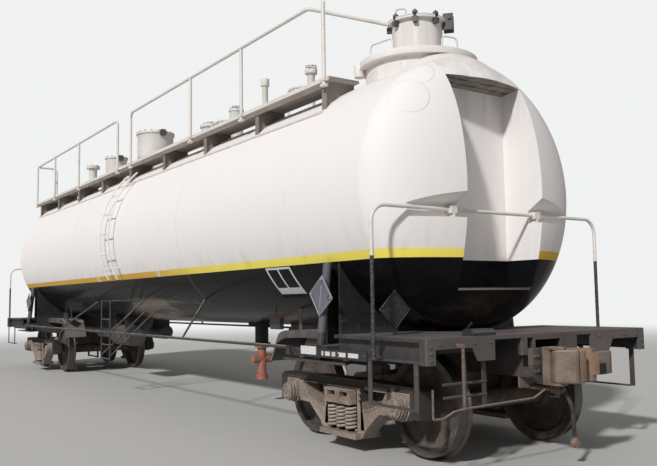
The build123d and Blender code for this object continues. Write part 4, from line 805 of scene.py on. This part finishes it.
class TANKCAR_OT_air_hose(bpy.types.Operator):
    """Makes the hanging air hose"""

    bl_idname = "tankcar.air_hose"
    bl_label = "Air hose"

    def execute(self, context):
        curve = bpy.data.curves.new("air_hose_rubber", "CURVE")
        curve.dimensions = "3D"
        curve.bevel_depth = 0.019
        curve.bevel_resolution = 6
        curve.resolution_u = 16
        curve.use_fill_caps = True
        spline = curve.splines.new("NURBS")
        spline.points.add(len(HOSE_ROUTE) - 1)
        for point, place in zip(spline.points, HOSE_ROUTE):
            point.co = (*place, 1.0)
        spline.order_u = 3
        spline.use_endpoint_u = True
        hose = bpy.data.objects.new("air_hose_rubber", curve)
        context.scene.collection.objects.link(hose)
        curve.materials.append(FINISHES["hose_rubber"])
        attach(hose, "car")
        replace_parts(hose, "air_hose")
        return {"FINISHED"}


class TANKCAR_OT_finishes(bpy.types.Operator):
    """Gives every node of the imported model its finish"""

    bl_idname = "tankcar.finishes"
    bl_label = "Finishes"

    def execute(self, context):
        build_finishes(context.scene.tankcar)
        for name, node in NODES.items():
            node.data.materials.clear()
            node.data.materials.append(FINISHES[finish_of(name)])
        return {"FINISHED"}


class TANKCAR_OT_springs(bpy.types.Operator):
    """Makes the coil springs of both trucks"""

    bl_idname = "tankcar.springs"
    bl_label = "Coil springs"

    def execute(self, context):
        settings = context.scene.tankcar
        wire = settings.spring_wire
        steps_per_turn = 20
        turns = settings.spring_turns
        steps = int(turns * steps_per_turn)
        for label, way in (("near", 1), ("far", -1)):
            low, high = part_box(f"springs_{label}")
            rise = (high.z - low.z - 2 * wire - 0.006) / steps
            coil = bmesh.new()
            ring = bmesh.ops.create_circle(coil, radius=wire, segments=8)["verts"]
            bmesh.ops.rotate(coil, verts=ring, cent=(0, 0, 0), matrix=Matrix.Rotation(math.pi / 2, 3, "X"))
            bmesh.ops.translate(coil, verts=ring, vec=(SPRING_R - wire, 0, low.z + wire + 0.003))
            bmesh.ops.spin(
                coil, geom=coil.edges[:], cent=(0, 0, 0), axis=(0, 0, 1), dvec=(0, 0, rise),
                angle=turns * 2 * math.pi, steps=steps,
            )
            bmesh.ops.holes_fill(coil, edges=[edge for edge in coil.edges if edge.is_boundary], sides=0)
            bmesh.ops.recalc_face_normals(coil, faces=coil.faces)
            smooth(coil)
            one = bpy.data.meshes.new("coil")
            coil.to_mesh(one)
            coil.free()
            group = bmesh.new()
            for side in (-1, 1):
                for row in (-1, 0.98):
                    for column in (-1, 0, 1):
                        before = len(group.verts)
                        group.from_mesh(one)
                        added = group.verts[before:]
                        x = way * TRUCK_X + column * SPRING_PITCH
                        place = (x, side * FRAME_Y + row * SPRING_PITCH / 2, 0)
                        bmesh.ops.translate(group, verts=added, vec=place)
            bpy.data.meshes.remove(one)
            piece = make_piece(f"coil_springs_{label}", group, "spring_steel", f"truck_{label}")
            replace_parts(piece, f"springs_{label}")
        return {"FINISHED"}


class TANKCAR_OT_castings(bpy.types.Operator):
    """Rounds the edges of the cast and pressed pieces"""

    bl_idname = "tankcar.castings"
    bl_label = "Castings"

    def execute(self, context):
        for label in ("near", "far"):
            for kind, width, finish, body in (
                ("truck_bolster", 0.012, "truck_iron", f"truck_{label}"),
                ("bearings", 0.006, "truck_iron", f"truck_{label}"),
                ("coupler", 0.012, "coupler_iron", f"coupler_{label}"),
                ("knuckle", 0.016, "coupler_iron", f"coupler_{label}"),
            ):
                node = f"{kind}_{label}"
                mesh = copy_of(node)
                round_edges(mesh, width)
                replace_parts(make_piece(f"{node}_cast", mesh, finish, body), node)
        for node, width, finish in (
            ("dome_collar", 0.022, "tank_paint"), ("dome_neck", 0.005, "tank_paint"),
            ("dome_cover", 0.006, "fitting_paint"), ("large_dome", 0.008, "fitting_paint"),
            ("small_dome", 0.008, "fitting_paint"), ("top_valves", 0.008, "fitting_paint"),
        ):
            mesh = copy_of(node)
            round_edges(mesh, width)
            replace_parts(make_piece(f"{node}_cast", mesh, finish, "car"), node)
        return {"FINISHED"}


class TANKCAR_OT_side_frames(bpy.types.Operator):
    """Makes the trucks' cast side frames, with rims round their sunk webs"""

    bl_idname = "tankcar.side_frames"
    bl_label = "Side frames"

    def execute(self, context):
        settings = context.scene.tankcar
        for label in ("near", "far"):
            mesh = copy_of(f"side_frames_{label}")
            face_y = FRAME_Y + FRAME_HALF
            walls = []
            for face in mesh.faces:
                place = face.calc_center_median()
                if abs(face.normal.y) > 0.99 and abs(abs(place.y) - face_y) < 0.002:
                    walls.append(face)
            bmesh.ops.inset_region(
                mesh, faces=walls, thickness=settings.frame_rim, depth=-settings.frame_sink,
                use_boundary=True, use_even_offset=True,
            )
            round_edges(mesh, 0.010)
            piece = make_piece(f"side_frames_{label}_cast", mesh, "frame_iron", f"truck_{label}")
            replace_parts(piece, f"side_frames_{label}")
        return {"FINISHED"}


class TANKCAR_OT_axle_ends(bpy.types.Operator):
    """Makes the bolted caps and rings of the axle ends, which turn with the wheels"""

    bl_idname = "tankcar.axle_ends"
    bl_label = "Axle ends"

    def execute(self, context):
        for label, way in (("near", 1), ("far", -1)):
            for place, step in (("outer", 0.5), ("inner", -0.5)):
                x = way * (TRUCK_X + step * WHEELBASE)
                mesh = bmesh.new()
                for side in (-1, 1):
                    out = Vector((0, side, 0))
                    face = Vector((x, side * AXLE_FACE, AXLE_Z))
                    bar(mesh, face - out * 0.036, face + out * 0.050, 0.072, 28)
                    for inner, outer, radius in CAP_RINGS:
                        bar(mesh, face + out * inner, face + out * outer, radius, 28)
                    bar(mesh, face + out * 0.030, face + out * 0.056, 0.022, 16)
                    for number in range(3):
                        angle = math.radians(120 * number + 30)
                        spot = face + out * 0.049 + Vector((math.cos(angle), 0, math.sin(angle))) * 0.048
                        bolt(mesh, spot, out, 0.013, 0.012)
                edges = [edge for edge in mesh.edges if math.degrees(edge.calc_face_angle(0.0)) > 80]
                long = [edge for edge in edges if max(abs(vert.co.x - x) for vert in edge.verts) > 0.0]
                bmesh.ops.bevel(
                    mesh, geom=long, offset=0.0015, segments=1, profile=0.5, affect="EDGES", material=-1
                )
                make_piece(f"axle_ends_{label}_{place}", mesh, "truck_iron", f"wheelset_{label}_{place}")
        return {"FINISHED"}


class TANKCAR_OT_bearing_rings(bpy.types.Operator):
    """Makes the grooved rings round the bearings"""

    bl_idname = "tankcar.bearing_rings"
    bl_label = "Bearing rings"

    def execute(self, context):
        for label, way in (("near", 1), ("far", -1)):
            mesh = bmesh.new()
            for step in (0.5, -0.5):
                x = way * (TRUCK_X + step * WHEELBASE)
                for side in (-1, 1):
                    for start, end in BEARING_RINGS:
                        bar(mesh, (x, side * start, AXLE_Z), (x, side * end, AXLE_Z), 0.117, 28)
            make_piece(f"bearing_rings_{label}", mesh, "truck_iron", f"truck_{label}")
        return {"FINISHED"}


class TANKCAR_OT_grab_irons(bpy.types.Operator):
    """Makes the two grab irons on the manway's ring"""

    bl_idname = "tankcar.grab_irons"
    bl_label = "Grab irons"

    def execute(self, context):
        mesh = bmesh.new()
        for start, end, rise in ((-97.0, -66.0, 0.125), (-17.0, 1.0, 0.120)):
            feet = []
            for degrees in (start, end):
                angle = math.radians(degrees)
                foot = Vector((DOME_X + 0.60 * math.cos(angle), 0.60 * math.sin(angle), RING_TOP - 0.004))
                feet.append(foot)
                bar(mesh, foot, foot + Vector((0, 0, 0.012)), 0.020)
            up = Vector((0, 0, rise))
            bent_bar(mesh, [feet[0], feet[0] + up, feet[1] + up, feet[1]], 0.009, 0.05)
        make_piece("ring_grab_irons", mesh, "rail_paint", "car")
        return {"FINISHED"}


class TANKCAR_OT_dome_hinge(bpy.types.Operator):
    """Makes the hinge of the manway's cover and its grab bar"""

    bl_idname = "tankcar.dome_hinge"
    bl_label = "Dome hinge"

    def execute(self, context):
        low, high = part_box("dome_cover")
        mesh = bmesh.new()
        angle = math.radians(42)
        way = Vector((math.cos(angle), math.sin(angle), 0))
        across = Vector((-way.y, way.x, 0))
        reach = (high.x - low.x) / 2
        turn = Matrix.Rotation(angle, 4, "Z")
        for side in (-0.055, 0.055):
            spot = Vector((DOME_X, 0, high.z - 0.06)) + way * (reach + 0.02) + across * side
            slab(mesh, spot - Vector((0.055, 0.010, 0.085)), spot + Vector((0.055, 0.010, 0.10)), 0.006, turn)
        pin = Vector((DOME_X, 0, high.z - 0.01)) + way * (reach + 0.035)
        bar(mesh, pin - across * 0.085, pin + across * 0.085, 0.020)
        make_piece("dome_hinge", mesh, "bolt_paint", "car")
        grip = bmesh.new()
        spot = Vector((DOME_X, 0, high.z)) + Vector((-0.12, -0.20, 0))
        rise = Vector((0, 0, 0.13))
        across = Vector((0.10, 0.06, 0))
        bent_bar(grip, [spot, spot + rise, spot + rise + across, spot + across], 0.009, 0.03)
        make_piece("dome_grip", grip, "fitting_paint", "car")
        return {"FINISHED"}


class TANKCAR_OT_hood(bpy.types.Operator):
    """Makes the jacket's hood, which runs from the manway's ring over the near slot"""

    bl_idname = "tankcar.hood"
    bl_label = "Hood"

    def execute(self, context):
        mesh = bmesh.new()
        place = Matrix.Translation((6.20, 0.0, 3.00)) @ Matrix.Diagonal((0.735, 0.87, 0.955, 1.0))
        bmesh.ops.create_uvsphere(mesh, u_segments=96, v_segments=64, radius=1.0, matrix=place)
        for spot, way in (((0, 0, 3.56), (0, 0, 1)), ((DOME_X, 0, 0), (1, 0, 0))):
            geom = mesh.verts[:] + mesh.edges[:] + mesh.faces[:]
            bmesh.ops.bisect_plane(mesh, geom=geom, plane_co=spot, plane_no=way, clear_inner=True)
            bmesh.ops.holes_fill(mesh, edges=[edge for edge in mesh.edges if edge.is_boundary], sides=0)
        for face in mesh.faces:
            face.smooth = len(face.verts) < 10
        make_piece("slot_hood", mesh, "tank_paint", "car")
        return {"FINISHED"}


class TANKCAR_OT_plates(bpy.types.Operator):
    """Makes the blank plates on a side bar and the placards at both ends"""

    bl_idname = "tankcar.plates"
    bl_label = "Blank plates"

    def execute(self, context):
        mesh = bmesh.new()
        face = -BAR_FACE
        slab(mesh, (5.570, face - 0.005, 0.925), (5.835, face + 0.001, 1.004), 0.002)
        for start, end in ((5.925, 5.955), (5.985, 6.065), (6.095, 6.150), (6.190, 6.310), (6.350, 6.500)):
            slab(mesh, (start, face - 0.003, 0.926), (end, face + 0.001, 0.966), 0.001)
        make_piece("side_bar_plates", mesh, "plate_paint", "car")
        holder = bmesh.new()
        turn = Matrix.Rotation(math.radians(45), 4, "X")
        for way in (-1, 1):
            x = way * 6.600
            y = way * -1.100
            half = 0.126
            low = (x - 0.003, y - half, PLACARD_Z - half)
            high = (x + 0.003, y + half, PLACARD_Z + half)
            slab(holder, low, high, 0.001, turn)
            rim = half - 0.006
            for a, b in (((-1, -1), (-1, 1)), ((-1, 1), (1, 1)), ((1, 1), (1, -1)), ((1, -1), (-1, -1))):
                corners = []
                for u, v in (a, b):
                    offset = turn.to_3x3() @ Vector((way * 0.008, u * rim, v * rim))
                    corners.append(Vector((x, y, PLACARD_Z)) + offset)
                bar(holder, corners[0], corners[1], 0.006, 8)
            bar(holder, (x - way * 0.002, y, DECK_TOP), (x - way * 0.002, y, 1.18), 0.014)
        make_piece("end_placards", holder, "bar_paint", "car")
        return {"FINISHED"}


class TANKCAR_OT_placard_rims(bpy.types.Operator):
    """Makes the rims and clips on the placard holders at the struts"""

    bl_idname = "tankcar.placard_rims"
    bl_label = "Placard rims"

    def execute(self, context):
        low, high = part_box("placard_holders")
        mesh = bmesh.new()
        marks = bmesh.new()
        tilt = math.radians(8)
        for end in (-1, 1):
            for side in (-1, 1):
                way = -side
                face = side * max(abs(low.y), abs(high.y))
                centre = Vector((end * TRUCK_X + way * 0.035, face, 1.480))
                corners = []
                for quarter in range(4):
                    angle = math.pi / 2 * quarter - tilt
                    reach = (way * 0.190 * math.cos(angle), 0, 0.190 * math.sin(angle))
                    corners.append(centre + Vector(reach))
                for first, second in zip(corners, corners[1:] + corners[:1]):
                    bar(mesh, first, second, 0.006, 8)
                down = (corners[3] - corners[1]).normalized()
                bar(mesh, centre - down * 0.10, centre + down * 0.12, 0.006, 8)
                mark = corners[0].lerp(centre, 0.30)
                slab(marks, mark - Vector((0.010, 0.004, 0.026)), mark + Vector((0.010, 0.004, 0.026)), 0.003)
                for corner in corners:
                    inward = (centre - corner).normalized()
                    clip = corner + inward * 0.03
                    bar(mesh, clip, clip + Vector((0, side * 0.010, 0)), 0.012, 8)
        make_piece("placard_rims", mesh, "rim_paint", "car")
        make_piece("placard_slots", marks, "bar_paint", "car")
        return {"FINISHED"}


class TANKCAR_OT_deck_bolts(bpy.types.Operator):
    """Makes the bolts and rivets of the decks, bolsters and side bars"""

    bl_idname = "tankcar.deck_bolts"
    bl_label = "Deck bolts"

    def execute(self, context):
        mesh = bmesh.new()
        for way in (-1, 1):
            front = Vector((way, 0, 0))
            for side in (-1, 1):
                out = Vector((0, side, 0))
                for number in range(7):
                    x = way * (6.18 + number * 0.185)
                    bolt(mesh, (x, side * (DECK_HALF - 0.001), DECK_TOP - 0.016), out, 0.009, 0.008)
                for number in range(4):
                    y = side * (0.72 + number * 0.19)
                    bolt(mesh, (way * DECK_FRONT, y, DECK_TOP - 0.05), front, 0.012, 0.011)
                for number in range(3):
                    bolt(mesh, (way * DECK_FRONT, side * 1.39, 0.95 + number * 0.055), front, 0.012, 0.011)
                for x in (5.365, 6.20, 6.58):
                    bolt(mesh, (way * x, side * BAR_FACE, 0.945), out, 0.012, 0.011)
                for z in (0.80, 0.93):
                    for y in (0.20, 0.24):
                        bolt(mesh, (way * STRIKER_FRONT, side * y, z), front, 0.014, 0.013)
        make_piece("deck_bolts", mesh, "deck_paint", "car")
        return {"FINISHED"}


class TANKCAR_OT_fitting_bolts(bpy.types.Operator):
    """Makes the bolts, handles and pipes of the fittings on top"""

    bl_idname = "tankcar.fitting_bolts"
    bl_label = "Fitting bolts"

    def execute(self, context):
        mesh = bmesh.new()
        up = Vector((0, 0, 1))
        for x, ring, top, count in FITTING_BOLTS:
            for number in range(count):
                angle = 2 * math.pi * (number + 0.5) / count
                spot = Vector((x + ring * math.cos(angle), ring * math.sin(angle), top - 0.002))
                bolt(mesh, spot, up, 0.013, 0.018)
        for x, top, reach in LID_HINGES:
            slab(mesh, (x + reach - 0.02, -0.05, top - 0.09), (x + reach + 0.05, 0.05, top + 0.018), 0.006)
            bar(mesh, (x + reach + 0.03, -0.075, top - 0.03), (x + reach + 0.03, 0.075, top - 0.03), 0.014)
        make_piece("fitting_bolts", mesh, "bolt_paint", "car")
        pipes = bmesh.new()
        for points in (
            [(0.6, -0.12, 4.10), (0.6, -0.30, 4.10), (0.95, -0.30, 4.10), (0.95, -0.30, 3.80)],
            [(1.5, -0.08, 4.20), (1.5, -0.26, 4.20), (1.18, -0.26, 4.20), (1.18, -0.26, 3.80)],
            [(3.625, -0.04, 4.22), (3.625, -0.22, 4.22), (3.40, -0.22, 4.22), (3.40, -0.22, 3.82)],
        ):
            bent_bar(pipes, points, 0.020, 0.055)
        for x, top in HAND_WHEELS:
            bar(pipes, (x, 0, top - 0.01), (x, 0, top + 0.055), 0.016)
            hub = Vector((x, 0, top + 0.045))
            points = [hub + Vector((0.07, 0, 0))]
            rim = bmesh.ops.create_circle(
                pipes, radius=0.008, segments=8,
                matrix=Matrix.Translation(points[0]) @ Matrix.Rotation(math.pi / 2, 4, "X"),
            )["verts"]
            edges = list({edge for vert in rim for edge in vert.link_edges})
            bmesh.ops.spin(
                pipes, geom=edges, cent=hub, axis=(0, 0, 1), angle=2 * math.pi, steps=24, use_merge=True
            )
            for angle in (0, 90):
                reach = Vector((math.cos(math.radians(angle)), math.sin(math.radians(angle)), 0)) * 0.068
                bar(pipes, hub - reach, hub + reach, 0.006, 8)
        bmesh.ops.recalc_face_normals(pipes, faces=pipes.faces)
        make_piece("fitting_pipes", pipes, "fitting_paint", "car")
        return {"FINISHED"}


class TANKCAR_OT_walkway_trim(bpy.types.Operator):
    """Makes the walkway's tread bars and its foot rail on the tank"""

    bl_idname = "tankcar.walkway_trim"
    bl_label = "Walkway trim"

    def execute(self, context):
        treads = bmesh.new()
        low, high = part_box("walkway")
        count = 150
        for number in range(count):
            x = low.x + 0.04 + (high.x - low.x - 0.08) * number / (count - 1)
            start = (x - 0.006, TREAD_Y[0], high.z - 0.002)
            slab(treads, start, (x + 0.006, TREAD_Y[1], high.z + 0.006))
        for y in (-0.955, -0.76, -0.567):
            start = (low.x + 0.01, y - 0.004, high.z - 0.002)
            slab(treads, start, (high.x - 0.01, y + 0.004, high.z + 0.007))
        make_piece("walkway_treads", treads, "rail_paint", "car")
        foot = bmesh.new()
        y = -1.005
        z = TANK_Z + math.sqrt(TANK_R**2 - y**2) + 0.012
        bar(foot, (low.x + 0.25, y, z), (high.x - 0.05, y, z), 0.017, 10)
        for number in range(24):
            x = low.x + 0.3 + (high.x - low.x - 0.4) * number / 23
            slab(foot, (x - 0.02, y - 0.012, z - 0.03), (x + 0.02, y + 0.012, z + 0.004), 0.003)
        make_piece("walkway_foot_rail", foot, "rail_paint", "car")
        return {"FINISHED"}


class TANKCAR_OT_guard_hangers(bpy.types.Operator):
    """Makes the boxes and pins on the wheel guards"""

    bl_idname = "tankcar.guard_hangers"
    bl_label = "Guard hangers"

    def execute(self, context):
        mesh = bmesh.new()
        for way in (-1, 1):
            for side in (-1, 1):
                x, y = way * 4.255, side * 0.930
                slab(mesh, (x - 0.11, y - 0.03, 1.112), (x + 0.11, y + 0.03, 1.250), 0.008)
                bar(mesh, (x - 0.03, y, 1.24), (x - 0.03, y, 1.375), 0.011)
                bolt(mesh, (x - 0.03, y, 1.335), (0, 0, 1), 0.020, 0.018)
                for number in (-1, 1):
                    bolt(mesh, (x + number * 0.07, y + side * 0.03, 1.19), (0, side, 0), 0.012, 0.010)
        make_piece("guard_hangers", mesh, "deck_paint", "car")
        return {"FINISHED"}


class TANKCAR_OT_post_feet(bpy.types.Operator):
    """Makes the clamps that hold the top handrails' posts on the walkway"""

    bl_idname = "tankcar.post_feet"
    bl_label = "Post feet"

    def execute(self, context):
        mesh = bmesh.new()
        low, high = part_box("walkway")
        for node in ("handrail_near", "handrail_far"):
            posts = set()
            for vert in NODES[node].data.vertices:
                if vert.co.z < high.z - 0.05 and vert.co.y < -0.9:
                    posts.add(round(vert.co.x, 2))
            places = sorted(posts)
            groups = [place for place, last in zip(places, [-99.0] + places[:-1]) if place - last > 0.2]
            for x in groups:
                x += 0.02
                y = low.y
                for bottom, top in ((0.055, 0.015), (0.115, 0.085)):
                    start = (x - 0.035, y - 0.050, high.z - bottom)
                    slab(mesh, start, (x + 0.035, y + 0.002, high.z - top), 0.004)
        make_piece("post_feet", mesh, "rail_paint", "car")
        return {"FINISHED"}


class TANKCAR_OT_truck_gear(bpy.types.Operator):
    """Makes the brake levers, rods and bolts of the trucks"""

    bl_idname = "tankcar.truck_gear"
    bl_label = "Truck gear"

    def execute(self, context):
        for label, way in (("near", 1), ("far", -1)):
            mesh = bmesh.new()
            for step in (-1, 1):
                x = way * TRUCK_X + step * BEAM_REACH
                bar(mesh, (x, 0.10, 0.22), (x, 0.10, 0.66), 0.022, 8)
                bar(mesh, (x, -0.02, 0.44), (x, 0.12, 0.44), 0.016, 10)
                for y in (-0.60, 0.60):
                    bar(mesh, (x, 0.0, 0.50), (x, y, 0.44), 0.014, 8)
            start = (way * TRUCK_X - BEAM_REACH, 0.10, 0.24)
            bar(mesh, start, (way * TRUCK_X + BEAM_REACH, 0.10, 0.24), 0.016, 10)
            for side in (-1, 1):
                out = Vector((0, side, 0))
                for step in (-1, 1):
                    for z in (0.50, 0.555):
                        spot = (way * TRUCK_X + step * 0.285, side * 1.087, z)
                        bolt(mesh, spot, out, 0.012, 0.014)
            make_piece(f"truck_gear_{label}", mesh, "truck_iron", f"truck_{label}")
        return {"FINISHED"}


class TANKCAR_PT_panel(bpy.types.Panel):
    """Lists the car's pieces in the sidebar"""

    bl_idname = "TANKCAR_PT_panel"
    bl_label = "Tank Car"
    bl_space_type = "VIEW_3D"
    bl_region_type = "UI"
    bl_category = "Tank Car"

    def draw(self, context):
        for settings in (context.scene.tankcar_stage, context.scene.tankcar):
            for label in settings.__annotations__:
                self.layout.prop(settings, label)
        for operator in OPERATORS:
            self.layout.operator(operator.bl_idname)


OPERATORS = (
    TANKCAR_OT_finishes,
    TANKCAR_OT_stage,
    TANKCAR_OT_air_hose,
    TANKCAR_OT_springs,
    TANKCAR_OT_castings,
    TANKCAR_OT_side_frames,
    TANKCAR_OT_axle_ends,
    TANKCAR_OT_bearing_rings,
    TANKCAR_OT_truck_gear,
    TANKCAR_OT_grab_irons,
    TANKCAR_OT_guard_hangers,
    TANKCAR_OT_post_feet,
    TANKCAR_OT_dome_hinge,
    TANKCAR_OT_hood,
    TANKCAR_OT_plates,
    TANKCAR_OT_placard_rims,
    TANKCAR_OT_deck_bolts,
    TANKCAR_OT_fitting_bolts,
    TANKCAR_OT_walkway_trim,
)
CLASSES = (StageSettings, CarSettings, *OPERATORS, TANKCAR_PT_panel)


def register():
    for cls in CLASSES:
        bpy.utils.register_class(cls)
    bpy.types.Scene.tankcar_stage = bpy.props.PointerProperty(type=StageSettings)
    bpy.types.Scene.tankcar = bpy.props.PointerProperty(type=CarSettings)


def unregister():
    del bpy.types.Scene.tankcar
    del bpy.types.Scene.tankcar_stage
    for cls in reversed(CLASSES):
        bpy.utils.unregister_class(cls)


def main():
    register()
    for operator in OPERATORS:
        category, name = operator.bl_idname.split(".")
        getattr(getattr(bpy.ops, category), name)()


if __name__ == "__main__":
    main()
